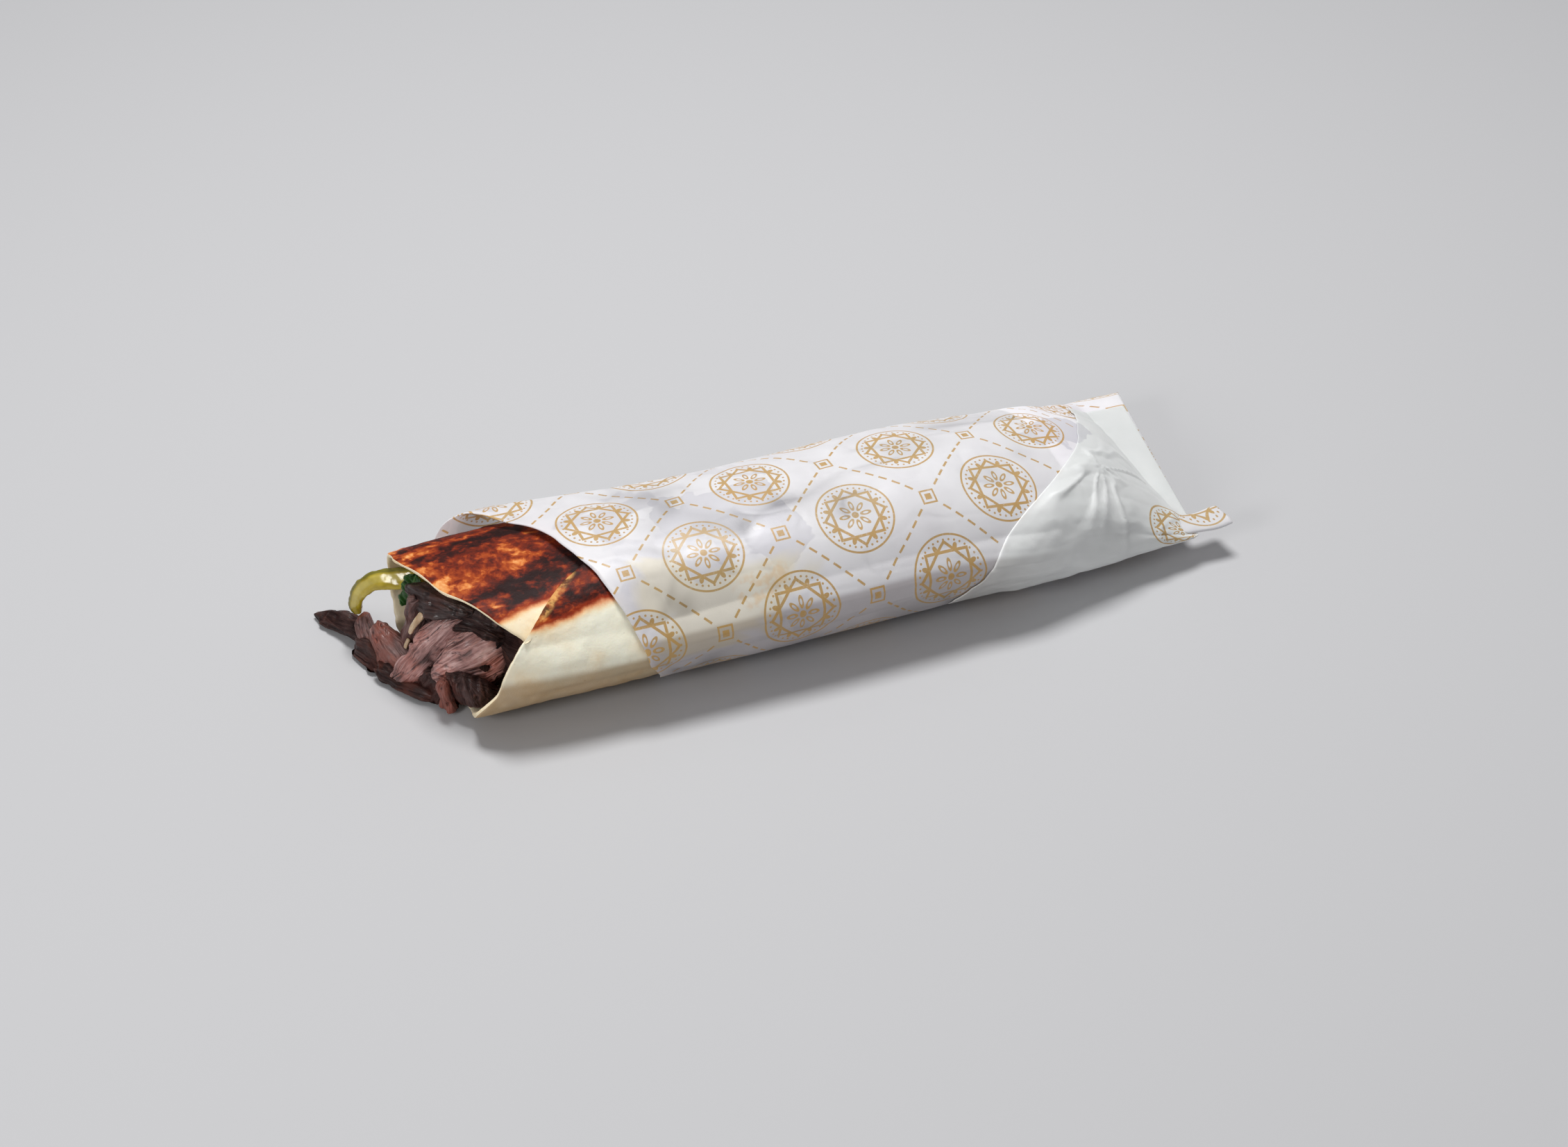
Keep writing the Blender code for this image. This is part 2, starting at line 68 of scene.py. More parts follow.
BREAD_RIM = (
    (151, 26.4), (180, 17.8), (206, 11.4), (225, 12.0), (250, 13.0), (275, 11.0), (300, 6.2), (322, 3.8),
    (348, 3.7), (385, 3.0), (415, 2.4), (432, 2.7), (442, 4.6), (451, 8.3), (462, 13.6), (478, 18.2),
    (490, 20.8), (511, 26.4), (560, 36.0),
)
BREAD_INNER_EDGE = 560.0
DIVE_START, DIVE_WIDTH = 290.0, 62.0
FLAP_FAN_END = 160.0
FLAP_EDGE = ((0.0, 151.0), (0.06, 123.0), (0.14, 106.0), (0.4, 82.0), (1.0, 72.0))
PAPER_RIM = (
    (-90, 46.0), (-60, 25.0), (-30, 18.0), (0, 17.0), (25, 22.0), (55, 33.0), (80, 43.0), (106, 49.5),
    (150, 56.0), (180, 60.0), (215, 66.0), (245, 66.0), (270, 46.0),
)
PAPER_FLARE = 4.0
LIP_START = 240.0
FIN_END_FAR, FIN_END_NEAR = 256.0, 242.0
FIN_SLOPE = 0.05
OVERLAY_EDGE = ((37.5, 233.0), (70, 226.0), (100, 212.0), (150, 177.0), (202.5, 157.0))
PICKLE_PATH = (
    (13, 16.6, 27.2), (6.5, 20.4, 26.7), (-1, 25.6, 24.7),
    (-5, 29.3, 20.0), (-6.3, 32.3, 13.6), (-5.4, 34.4, 8.2),
)
ONION_PATH = ((2.2, 4.8, 18.8), (3.9, 3.9, 22.4), (6.2, 2.9, 26.0))
CRUMB_PATH = ((1.75, 9.45, 10.5), (2.3, 9.5, 12.0), (3.1, 9.3, 13.7))
LEAF_MIDDLE, LEAF_HALF_LENGTH, LEAF_HALF_WIDTH = (6.4, 15.4, 26.0), 5.6, 2.9
TAIL_HALF_WIDTH, TAIL_HALF_DEPTH, TAIL_TURNS = 5.0, 1.15, 1.8
TAIL_PATH = ((228, -21, 11.4), (240, -22.5, 10.6), (247, -23, 10.2), (254, -22.5, 10.6))
# How light, how pink and how wet the core is. Each slice has its own, and then its middle, the way that its
# grain runs, the way that its face looks, and its length, width, thickness and bend.
# The core's low lightness is painted shade: it shows only in the dark gaps deep in the filling.
CORE_TONE = (0.12, 0.0, 0.2)
SLICES = {
    "main_slab": ((1.42, 0.25, 0.4), (9.2, -1.5, 14.4), (21, -11, 27), (-6, -7, 3), 35, 16.5, 5.0, 1.6),
    "folded_slab": ((1.62, 0.75, 0.4), (17.0, -9.5, 17.1), (18, -5, 9), (-4, -8, 5), 26, 16, 5.2, 2.6),
    "top_dark": ((0.15, 0.5, 0.95), (11.8, 3.0, 29.1), (11, -17, 1), (-3, -2, 8), 23.5, 9.5, 5.0, 1.0),
    "left_chunk": ((0.50, 0.7, 0.3), (6.2, 9.6, 19.4), (-2, 5, -14), (-7, -5, 2), 20, 8.5, 6.0, -1.5),
    "side_strip": ((0.15, 0.9, 0.3), (-5.5, 31.0, 3.4), (-14, 27, -1), (-1, 0, 8), 37, 8, 4.2, 1.5),
    "curl": ((0.62, 1.1, 0.3), (-5.0, 25.5, 6.1), (-1, 8, 6), (-8, -3, 4), 15, 6, 3.6, 1.5),
    "dark_lump": ((0.16, 0.5, 0.4), (-5.5, 21.0, 2.0), (3, -8, 1), (-4, -4, 6), 15, 10, 7.5, 0.5),
    "pink_lump": ((0.62, 1.1, 0.3), (-0.6, 13.6, 7.1), (4, -9, -6), (-6, -3, 5), 20, 11, 7.0, 1.0),
    "low_brown": ((0.15, 1.0, 0.4), (0.9, 3.9, 2.0), (8, -12, 0), (-6, -4, 5), 25, 10, 5.5, 0.5),
    "bottom_chunk": ((0.24, 0.6, 0.4), (14.5, -12.5, 6.6), (-3, -3, 9), (-5, -8, 2), 17, 17, 7.0, 1.5),
    "red_strip": ((0.66, 1.3, 0.3), (7.6, -11.0, 5.2), (-2, -2, 8), (-7, -5, 1), 15, 5, 4.5, 1.0),
    "dark_slice": ((0.14, 0.3, 0.5), (5.5, -3.5, 3.2), (2, -4, 7), (-8, -4, 2), 17, 11, 6.0, -1.0),
    # right_dark is a dark slice made darker still by painted shade, and right_edge is near-black painted
    # shade, for the gap between the slabs and the bread's near wall.
    "right_dark": ((0.14, 0.4, 0.4), (20.0, -7.5, 27.6), (9, -9, 0), (-3, -5, 7), 20, 11, 5.5, 0.8),
    "right_edge": ((0.05, 0.1, 0.1), (28.0, -13.0, 25.6), (9, -9, -3), (-3, -6, 6), 20, 11, 5.5, 0.8),
    "knob": ((0.34, 0.7, 0.4), (20.5, -9.5, 9.6), (5, -3, 4), (-4, -7, 3), 12, 8, 7.0, 0.5),
    # back_fill is near-black painted shade for the dark gap at the back of the filling.
    "back_fill": ((0.05, 0.1, 0.1), (23.0, 3.0, 18.6), (2, 8, 4), (-9, -2, 2), 34, 26, 12.0, 0.0),
}


# ---- Shape maths ----


def curve_through(stations, at):
    """The value at each place on a smooth curve through (place, value) stations."""
    places, values = np.array(stations, float).T
    slopes = np.gradient(values, places)
    at = np.clip(at, places[0], places[-1])
    i = np.clip(np.searchsorted(places, at, side="right") - 1, 0, len(places) - 2)
    step = places[i + 1] - places[i]
    t = (at - places[i]) / step
    return (
        (1 + 2 * t) * (1 - t) ** 2 * values[i]
        + t * (1 - t) ** 2 * step * slopes[i]
        + t * t * (3 - 2 * t) * values[i + 1]
        + t * t * (t - 1) * step * slopes[i + 1]
    )


def ease(t):
    """0 before 0 and 1 after 1, with a smooth rise between."""
    t = np.clip(t, 0.0, 1.0)
    return t * t * (3 - 2 * t)


def bump(value, middle, half_width):
    """1 at the middle, falling smoothly to 0 at half_width from it."""
    return ease(1 - np.abs(value - middle) / half_width)


def tent(value, middle, half_width):
    """1 at the middle, falling in straight lines to 0 at half_width from it."""
    return np.clip(1 - np.abs(value - middle) / half_width, 0, 1)


def as_grids(*values):
    """Numbers and arrays as arrays of one shape."""
    return np.broadcast_arrays(*(np.asarray(value, float) for value in values))


def stacked(*values):
    """Points or UVs from one array for each of their numbers."""
    return np.stack(np.broadcast_arrays(*values), axis=-1)


def powered(value, power):
    """The value to a power, with its sign kept."""
    return np.sign(value) * np.abs(value) ** power


def unit(vectors):
    return vectors / np.linalg.norm(vectors, axis=-1, keepdims=True)


def lengths_along(points):
    """The length from the first point to each point of a line."""
    return np.concatenate([[0], np.cumsum(np.linalg.norm(np.diff(points, axis=0), axis=1))])


def section(x, above):
    """The power of the roll's section at x, and its reach from the middle height, above it or below."""
    power = np.where(above, curve_through(SQUARENESS_ABOVE, x), curve_through(SQUARENESS_BELOW, x))
    return power, np.where(above, curve_through(RISE, x), curve_through(DROP, x))


def roll_points(x, angle, outset):
    """Points on the roll's skin at x and an angle in degrees, moved out by outset. The underside is flat."""
    x, angle, outset = as_grids(x, angle, outset)
    cos, sin = np.cos(np.radians(angle)), np.sin(np.radians(angle))
    power, reach = section(x, sin >= 0)
    across = powered(cos, 2.0 / power) * (curve_through(HALF_WIDTH, x) + outset)
    up = powered(sin, 2.0 / power) * np.maximum(reach + outset, 0.0)
    slope = FIN_SLOPE * ease((x - BREAD_END) / (LIP_START - BREAD_END)) * across
    height = np.maximum(curve_through(MIDDLE_HEIGHT, x) + slope + up, BREAD_LIFT - outset)
    return np.stack([x, across + curve_through(SIDE_SHIFT, x), height], axis=-1)


ARC_ANGLES = np.arange(0, 361.0)
ARC_LENGTHS = lengths_along(roll_points(120.0, ARC_ANGLES, PAPER_GAP))
GIRTH = ARC_LENGTHS[-1]


def arc(angle):
    """The length round the roll from the far side to an angle, which may be past a full turn."""
    angle = np.asarray(angle, float)
    turns = np.floor(angle / 360)
    return turns * GIRTH + np.interp(angle - 360 * turns, ARC_ANGLES, ARC_LENGTHS)


def lattice(ix, iy, iz, seed):
    """A repeatable random value from -1 to 1 for each place of a whole-number grid."""
    mask = 0xFFFFFFFF
    value = (ix * 73856093 ^ iy * 19349663 ^ iz * 83492791 ^ (seed * 40503 + 977)) & mask
    value = ((value ^ (value >> 13)) * 1274126177) & mask
    value = ((value ^ (value >> 15)) * 2246822519) & mask
    return ((value ^ (value >> 16)) & 0xFFFF) / 32767.5 - 1


def noise(points, seed):
    """Smooth noise from about -1 to 1, with features about one unit across."""
    base = np.floor(points)
    t = points - base
    t = t * t * t * (t * (t * 6 - 15) + 10)
    i = base.astype(np.int64)
    total = 0.0
    for corner in np.ndindex(2, 2, 2):
        weight = 1.0
        for axis, step in enumerate(corner):
            weight = weight * (t[..., axis] if step else 1 - t[..., axis])
        total = total + weight * lattice(*np.moveaxis(i + np.array(corner), -1, 0), seed)
    return total


def fractal(points, seed, octaves=3):
    """Noise with finer and fainter noise added to it."""
    total, size = 0.0, 1.0
    for octave in range(octaves):
        total = total + size * noise(points * 2.03**octave, seed + 17 * octave)
        size *= 0.5
    return total


def line_through(path, at):
    """Points at each share along a smooth curve through a path."""
    path = np.array(path, float)
    places = np.linspace(0, 1, len(path))
    return np.stack([curve_through(list(zip(places, path[:, k])), at) for k in range(3)], axis=-1)


# ---- Meshes ----


def placed(points):
    """Roll-frame millimetres to row-frame metres."""
    return (points - (MIDDLE_X, MIDDLE_Y, 0.0)) * MM


def grid_mesh(name, points, uvs, closed=False):
    """A smooth mesh from a grid of points in millimetres, with a UV in millimetres for each corner.

    Where it is closed, its columns close round on themselves, its first and last rows are filled, and its
    UVs have one column more than its points.
    """
    rows, columns = points.shape[:2]
    across = columns if closed else columns - 1
    r, c = np.meshgrid(np.arange(rows - 1), np.arange(across), indexing="ij")
    r, c = r.ravel(), c.ravel()
    corners = [(r, c), (r, c + 1), (r + 1, c + 1), (r + 1, c)]
    faces = np.stack([row * columns + column % columns for row, column in corners], axis=1)
    mesh = bpy.data.meshes.new(name)
    mesh.from_pydata(placed(points.reshape(-1, 3)).tolist(), [], faces.tolist())
    layer = mesh.uv_layers.new(name="UVMap")
    values = np.stack([uvs[row, column] for row, column in corners], axis=1) * MM
    layer.data.foreach_set("uv", values.astype(np.float32).ravel())
    shape = bmesh.new()
    shape.from_mesh(mesh)
    if closed:
        bmesh.ops.holes_fill(shape, edges=shape.edges)
        bmesh.ops.recalc_face_normals(shape, faces=shape.faces)
        if shape.calc_volume(signed=True) < 0:
            bmesh.ops.reverse_faces(shape, faces=shape.faces)
    bmesh.ops.dissolve_degenerate(shape, edges=shape.edges, dist=1e-7)
    shape.to_mesh(mesh)
    shape.free()
    mesh.shade_smooth()
    return mesh


def add_piece(name, mesh, materials, node=None):
    """Puts a finished mesh in the scene as a piece of the part."""
    piece = bpy.data.objects.new(name, mesh)
    bpy.context.scene.collection.objects.link(piece)
    for material in materials:
        piece.data.materials.append(material)
    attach(piece, "root")
    if node:
        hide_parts(node)


def add_closed(name, points, uvs, look, node=None):
    """A closed piece from rings of points."""
    add_piece(name, grid_mesh(name, points, uvs, closed=True), [look], node)


def read_vectors(items, key):
    """A vector of each vertex or normal, as an array."""
    values = np.zeros(len(items) * 3, np.float32)
    items.foreach_get(key, values)
    return values.reshape(-1, 3).astype(float)


def with_modifiers(name, mesh, *settings):
    """The mesh after modifiers, each given as (type, {setting: value})."""
    holder = bpy.data.objects.new(name, mesh)
    bpy.context.scene.collection.objects.link(holder)
    for kind, values in settings:
        modifier = holder.modifiers.new(kind.lower(), kind)
        for key, value in values.items():
            setattr(modifier, key, value)
    bpy.context.view_layer.update()
    made = bpy.data.meshes.new_from_object(holder.evaluated_get(bpy.context.evaluated_depsgraph_get()))
    bpy.data.objects.remove(holder)
    made.name = name
    made.shade_smooth()
    return made


# ---- Shader maths ----


def wire(tree, value, slot):
    """Links a field or socket to a slot, or sets the slot to a fixed number, vector or colour."""
    if isinstance(value, Field):
        tree.links.new(value.socket, slot)
    elif isinstance(value, bpy.types.NodeSocket):
        tree.links.new(value, slot)
    elif slot.type == "RGBA":
        slot.default_value = (*value, 1.0)
    else:
        slot.default_value = value


class Field:
    """A number that a material's nodes work out, written as Python arithmetic."""

    def __init__(self, tree, socket):
        self.tree, self.socket = tree, socket

    def run(self, operation, *others):
        node = self.tree.nodes.new("ShaderNodeMath")
        node.operation = operation
        for slot, value in zip(node.inputs, (self, *others)):
            wire(self.tree, value, slot)
        return Field(self.tree, node.outputs[0])

    __add__ = __radd__ = partialmethod(run, "ADD")
    __sub__ = partialmethod(run, "SUBTRACT")
    __mul__ = __rmul__ = partialmethod(run, "MULTIPLY")
    __truediv__ = partialmethod(run, "DIVIDE")
    __abs__ = partialmethod(run, "ABSOLUTE")
    min = partialmethod(run, "MINIMUM")
    max = partialmethod(run, "MAXIMUM")
    floor = partialmethod(run, "FLOOR")
    fract = partialmethod(run, "FRACT")
    sin = partialmethod(run, "SINE")
    cos = partialmethod(run, "COSINE")
    root = partialmethod(run, "SQRT")
    atan2 = partialmethod(run, "ARCTAN2")

    def __rsub__(self, other):
        return (self * -1.0) + other

    def ramp(self, low, high, start=0.0, end=1.0):
        """start at low and end at high, with a smooth rise between. low may be above high."""
        node = self.tree.nodes.new("ShaderNodeMapRange")
        node.interpolation_type = "SMOOTHSTEP"
        flipped = low > high
        low, high, start, end = (high, low, end, start) if flipped else (low, high, start, end)
        keys = ("Value", "From Min", "From Max", "To Min", "To Max")
        for key, value in zip(keys, (self, low, high, start, end)):
            wire(self.tree, value, node.inputs[key])
        return Field(self.tree, node.outputs["Result"])


def highest(*fields):
    """The highest of several fields at each place."""
    return reduce(Field.max, fields)


class Look:
    """A Principled material under construction, with helpers for its coordinates, noise and colours."""

    def __init__(self, name):
        self.material = bpy.data.materials.new(name)
        self.material.use_nodes = True
        self.tree = self.material.node_tree
        self.shader = self.tree.nodes["Principled BSDF"]
        self.shader.inputs["Metallic"].default_value = 0.0

    def node(self, kind, **inputs):
        made = self.tree.nodes.new(kind)
        for key, value in inputs.items():
            wire(self.tree, value, made.inputs[key.replace("_", " ")])
        return made

    def uv(self):
        """The UVs in millimetres, as two fields."""
        made = self.tree.nodes.new("ShaderNodeUVMap")
        made.uv_map = "UVMap"
        return self.in_mm(made.outputs["UV"])[:2]

    def in_mm(self, vector):
        """The parts of a vector in metres, as fields in millimetres."""
        made = self.node("ShaderNodeSeparateXYZ", Vector=vector)
        return [Field(self.tree, socket) * 1000.0 for socket in made.outputs]

    def place(self):
        """Object coordinates in metres, which are the row frame's."""
        return self.tree.nodes.new("ShaderNodeTexCoord").outputs["Object"]

    def vector(self, x, y, z=0.0):
        return self.node("ShaderNodeCombineXYZ", X=x, Y=y, Z=z).outputs["Vector"]

    def noise(self, vector, scale, detail=3.0, rough=0.55, distortion=0.0):
        made = self.node("ShaderNodeTexNoise", Vector=vector, Scale=scale, Detail=detail)
        made.inputs["Roughness"].default_value = rough
        made.inputs["Distortion"].default_value = distortion
        return Field(self.tree, made.outputs["Fac"])

    def cells(self, vector, scale):
        made = self.node("ShaderNodeTexVoronoi", Vector=vector, Scale=scale)
        return Field(self.tree, made.outputs["Distance"])

    def mix(self, share, a, b, blend="MIX"):
        """Colour a turned into colour b by share. Each may be a tuple or a socket."""
        made = self.tree.nodes.new("ShaderNodeMix")
        made.data_type = "RGBA"
        made.blend_type = blend
        for slot, value in ((made.inputs[0], share), (made.inputs[6], a), (made.inputs[7], b)):
            wire(self.tree, value, slot)
        return made.outputs[2]

    def ramp_colours(self, share, stops):
        made = self.tree.nodes.new("ShaderNodeValToRGB")
        self.tree.links.new(share.socket, made.inputs[0])
        elements = made.color_ramp.elements
        while len(elements) < len(stops):
            elements.new(0.5)
        for element, (place, colour) in zip(elements, stops):
            element.position = place
            element.color = (*colour, 1.0)
        return made.outputs["Color"]

    def finish(self, colour, roughness, height=None, strength=0.4, distance=0.001, soft=(), **fixed):
        """Wires colour, roughness and a bump height to the shader. Fixed values go on its own sockets.

        soft holds the subsurface weight and scale in metres, and may hold the radius of each colour.
        """
        fixed |= {"Base_Color": colour, "Roughness": roughness}
        fixed |= dict(zip(("Subsurface_Weight", "Subsurface_Scale", "Subsurface_Radius"), soft))
        if height is not None:
            made = self.node("ShaderNodeBump", Height=height, Strength=strength, Distance=distance)
            fixed["Normal"] = made.outputs["Normal"]
        for key, value in fixed.items():
            wire(self.tree, value, self.shader.inputs[key.replace("_", " ")])
        return self.material


# ---- Bread ----

FLAP_ARC = arc(FLAP_EDGE[0][1])
# Where the toasted crust ends: under the flap's edge, on the flap and at the far side.
TOP_CHAR_EDGE, FLAP_CHAR_EDGE, FAR_CHAR_EDGE = arc(360 + 129), arc(142), arc(360 + 12)
# The dark bars of the toasting: angle on the roll at x = 28, slope, half width and strength.
TOAST_BARS = ((46, -0.30, 2.6, 0.8), (70, -0.34, 3.4, 1.0), (109, -0.22, 6.0, 1.0), (136, -0.20, 2.2, 0.7))


def bread_grid():
    """The rolled sheet's outer face in fine rows, and its UVs: along the roll, and round it from the flap."""
    close = np.linspace(0, 0.36, 47)
    along = np.concatenate([close, np.linspace(0.36, 1, 20)[1:]])[:, None]
    flap = curve_through(FLAP_EDGE, along)
    fan = np.linspace(0, 1, 24)
    rest = np.arange(FLAP_FAN_END, BREAD_INNER_EDGE + 1, 3.2)[1:]
    angle = np.hstack([flap + fan * (FLAP_FAN_END - flap), rest * np.ones_like(along)])
    first = FLAP_EDGE[0][1]
    share = (angle - flap) / (BREAD_INNER_EDGE - flap)
    round_rim = first + share * (BREAD_INNER_EDGE - first)
    rim = curve_through(BREAD_RIM, round_rim)
    wander = 0.35 * noise(stacked(round_rim * 0.09, 0.5, 0.5), 3)
    wander = wander + 0.16 * noise(stacked(round_rim * 0.31, 0.5, 2.5), 4)
    rim = rim + wander
    x = rim + along * (BREAD_END - rim)
    under = ease((angle - flap - DIVE_START) / DIVE_WIDTH)
    points = roll_points(x, angle, near_edge(x, angle) - (BREAD_THICKNESS + LAYER_GAP) * under)
    return points, stacked(x, arc(angle))


def build_bread():
    points, uvs = bread_grid()
    mesh = grid_mesh("bread_roll", points, uvs)
    for look in (bread_outside(), bread_inside()):
        mesh.materials.append(look)
    shell = {"thickness": (BREAD_THICKNESS - 0.1) * MM, "offset": -1}
    shell |= {"material_offset": 1, "material_offset_rim": 1}
    mesh = with_modifiers("bread_roll", mesh, ("SOLIDIFY", shell), ("SUBSURF", {"levels": 1}))
    at = read_vectors(mesh.vertices, "co")
    out = read_vectors(mesh.vertex_normals, "vector")
    swell = 0.16 * fractal(at / MM / 7.0, 11, 3) + 0.05 * fractal(at / MM / 1.3, 12, 2)
    blister = np.clip(noise(at / MM / 4.2, 14) - 0.35, 0, 1) * 0.5
    moved = at + out * ((swell + blister) * MM)[:, None]
    mesh.vertices.foreach_set("co", moved.astype(np.float32).ravel())
    mesh.update()
    add_piece("bread_roll", mesh, [], "bread")


def crumb_colour(look, place):
    """The pale baked dough: cream with a few darker freckles."""
    broad = look.noise(place, 90, 3, 0.6)
    fine = look.noise(place, 900, 3, 0.6)
    base = look.ramp_colours(
        broad, [(0.30, (0.80, 0.63, 0.40)), (0.48, (0.90, 0.76, 0.53)), (0.68, (0.95, 0.85, 0.66))]
    )
    freckle = look.cells(place, 420).ramp(0.16, 0.05) * look.noise(place, 160, 2).ramp(0.56, 0.66)
    base = look.mix(freckle * 0.55, base, (0.42, 0.24, 0.09))
    return look.mix(fine.ramp(0.35, 0.7) * 0.25, base, (0.90, 0.84, 0.66))


def bread_outside():
    """The sheet's outer face: cream, and toasted over the top with dark bars and an orange edge, with painted
    shade below the near-side fold.
    """
    look = Look("flatbread_outside")
    u, v = look.uv()
    place = look.place()
    ragged = look.noise(place, 130, 4, 0.6) - 0.5
    coarse = look.noise(place, 55, 2, 0.5) - 0.5
    on_flap = v.ramp(GIRTH * 0.93, GIRTH * 0.92)
    top_edge = (u - 22.0) * -0.29 + TOP_CHAR_EDGE
    flap_edge = (u - 32.0) * -0.143 + FLAP_CHAR_EDGE
    edge = top_edge + on_flap * (flap_edge - top_edge)
    inside = edge - v + ragged * 5.0 + coarse * 3.5
    far = v - FAR_CHAR_EDGE + on_flap * 400.0 + ragged * 9.0
    toasted = inside.min(far)
    char = toasted.ramp(-0.4, 2.6)
    halo = toasted.ramp(-4.2, 1.0)

    round_at = v - (1 - on_flap) * GIRTH + coarse * 7.0 + ragged * 3.0
    bars = highest(*(
        abs(round_at - ((u - 28.0) * slope + arc(at))).ramp(half * 1.5, half * 0.4) * strength
        for at, slope, half, strength in TOAST_BARS
    ))
    bars = bars * look.noise(look.vector(u * 0.001, v * 0.002), 60, 3, 0.6).ramp(0.30, 0.50)
    patches = look.noise(look.vector(u * 0.0011, v * 0.0012), 92, 3, 0.55, 0.4)
    mottled = look.noise(place, 400, 4, 0.65)
    blobs = look.noise(look.vector(u * 0.0012, v * 0.0014), 210, 3, 0.6, 0.3)
    heat = patches.ramp(0.46, 0.70) * 0.40 + blobs.ramp(0.44, 0.66) * 0.30 + mottled.ramp(0.34, 0.66) * 0.14
    heat = (heat + 0.19 - bars * 0.46 - on_flap * 0.02).max(0.0)
    near_rim = (u - (round_at - 20.0) * 0.30).ramp(15.0, 2.0)
    rim_glow = near_rim * look.noise(place, 170, 3, 0.6).ramp(0.34, 0.60) * (1 - on_flap)
    heat = heat + rim_glow * 0.42
    crust = look.ramp_colours(
        heat.min(1.0),
        [
            (0.00, (0.018, 0.0045, 0.0040)),
            (0.18, (0.060, 0.0085, 0.0050)),
            (0.38, (0.190, 0.0210, 0.0060)),
            (0.58, (0.370, 0.0620, 0.0110)),
            (0.78, (0.66, 0.200, 0.045)),
            (1.00, (0.80, 0.400, 0.150)),
        ],
    )
    crumb = crumb_colour(look, place)
    pale = spot(u, v, 50, 164, 30, 20, coarse + 0.5, 0.2)
    crumb = look.mix(pale * 0.65, crumb, (0.88, 0.90, 0.77))
    halo_colour = look.ramp_colours(
        halo,
        [
            (0.00, (0.84, 0.74, 0.49)),
            (0.45, (0.84, 0.48, 0.16)),
            (0.80, (0.68, 0.19, 0.03)),
            (1.00, (0.30, 0.030, 0.008)),
        ],
    )
    colour = look.mix(halo, crumb, halo_colour)
    colour = look.mix(char, colour, crust)
    seam = (v - ((u - 26.0) * -1.02 + FLAP_ARC)).ramp(2.6, 0.2) * on_flap * u.ramp(50.0, 44.0)
    golden = seam * char * look.noise(place, 330, 3, 0.6).ramp(0.38, 0.58, 0.10, 0.85)
    colour = look.mix(golden, colour, (0.76, 0.40, 0.12))
    # Painted shade: below the near-side fold and over the underside, the colour is darkened for the shade
    # that falls there.
    below = (v - arc(175)).ramp(0.0, 3.0) * (v - arc(290)).ramp(0.0, -9.0)
    colour = look.mix(below * 0.90, colour, (0.50, 0.40, 0.31), "MULTIPLY")

    height = mottled * 0.5 + look.noise(place, 1500, 3) * 0.3 + patches * char * 0.4
    rough = 0.58 - char * 0.10 + mottled * 0.12
    return look.finish(
        colour, rough, height, 0.35, 0.0006, (0.05, 0.002, (1.0, 0.6, 0.3)), Specular_IOR_Level=0.12
    )


def bread_inside():
    """The inner face and the cut edge: pale, soft and a little moist."""
    look = Look("flatbread_inside")
    place = look.place()
    colour = crumb_colour(look, place)
    colour = look.mix(look.noise(place, 45, 2).ramp(0.45, 0.75) * 0.35, colour, (0.62, 0.45, 0.20))
    height = look.noise(place, 700, 4, 0.6)
    return look.finish(colour, 0.5, height, 0.3, 0.0005, (0.08, 0.002, (1.0, 0.7, 0.4)))


# ---- Beef ----


# The room left between a tucked slice and the bread, besides the source's gap.
TUCK_SPARE = 0.25


def tucked_in(points):
    """Points of the filling kept off the bread: squeezed to its inside wherever the bread covers them."""
    x, y, z = points[..., 0], points[..., 1], points[..., 2]
    dy, dz = y - curve_through(SIDE_SHIFT, x), z - curve_through(MIDDLE_HEIGHT, x)
    angle = np.degrees(np.arctan2(dz, dy)) % 360
    over = np.where(angle < 200, angle + 360, angle)
    along = np.clip((x - 8) / (BREAD_END - 8), 0, 1)
    flap = curve_through(FLAP_EDGE, along)
    dived = ease((over - flap - DIVE_START + 12) / DIVE_WIDTH)
    depth = BREAD_THICKNESS + FOOD_GAP + TUCK_SPARE + (BREAD_THICKNESS + LAYER_GAP) * dived
    power, reach = section(x, dz >= 0)
    half = curve_through(HALF_WIDTH, x) - depth
    reach = np.maximum(reach - depth, 1)
    size = ((np.abs(dy) / half) ** power + (np.abs(dz) / reach) ** power) ** (1 / power)
    covered = ease((x - curve_through(BREAD_RIM, over) + 1.6) / 2.2)
    scale = 1 + covered * (1 / np.maximum(size, 1) - 1)
    moved = points.copy()
    moved[..., 1] = y - dy + dy * scale
    moved[..., 2] = z - dz + dz * scale
    floor = np.where(covered > 0.5, BREAD_LIFT + BREAD_THICKNESS + FOOD_GAP, BREAD_LIFT)
    moved[..., 2] = np.maximum(moved[..., 2], floor)
    return moved


def lumps(points, phase):
    """A soft unevenness for points in millimetres, different for each phase."""
    x, y, z = (points * 0.45).transpose(-1, *range(points.ndim - 1))
    wave = np.sin(x * 1.3 + phase) * np.cos(y * 1.1 - phase * 2) + np.sin(z * 1.7 + phase * 3 + x * 0.6)
    return 0.45 * wave[..., None]


# How far one side of a slice runs on past the other, per millimetre of its width.
SLICE_SHEAR = {"main_slab": -0.42, "folded_slab": 0.25, "bottom_chunk": 0.2, "low_brown": -0.2}


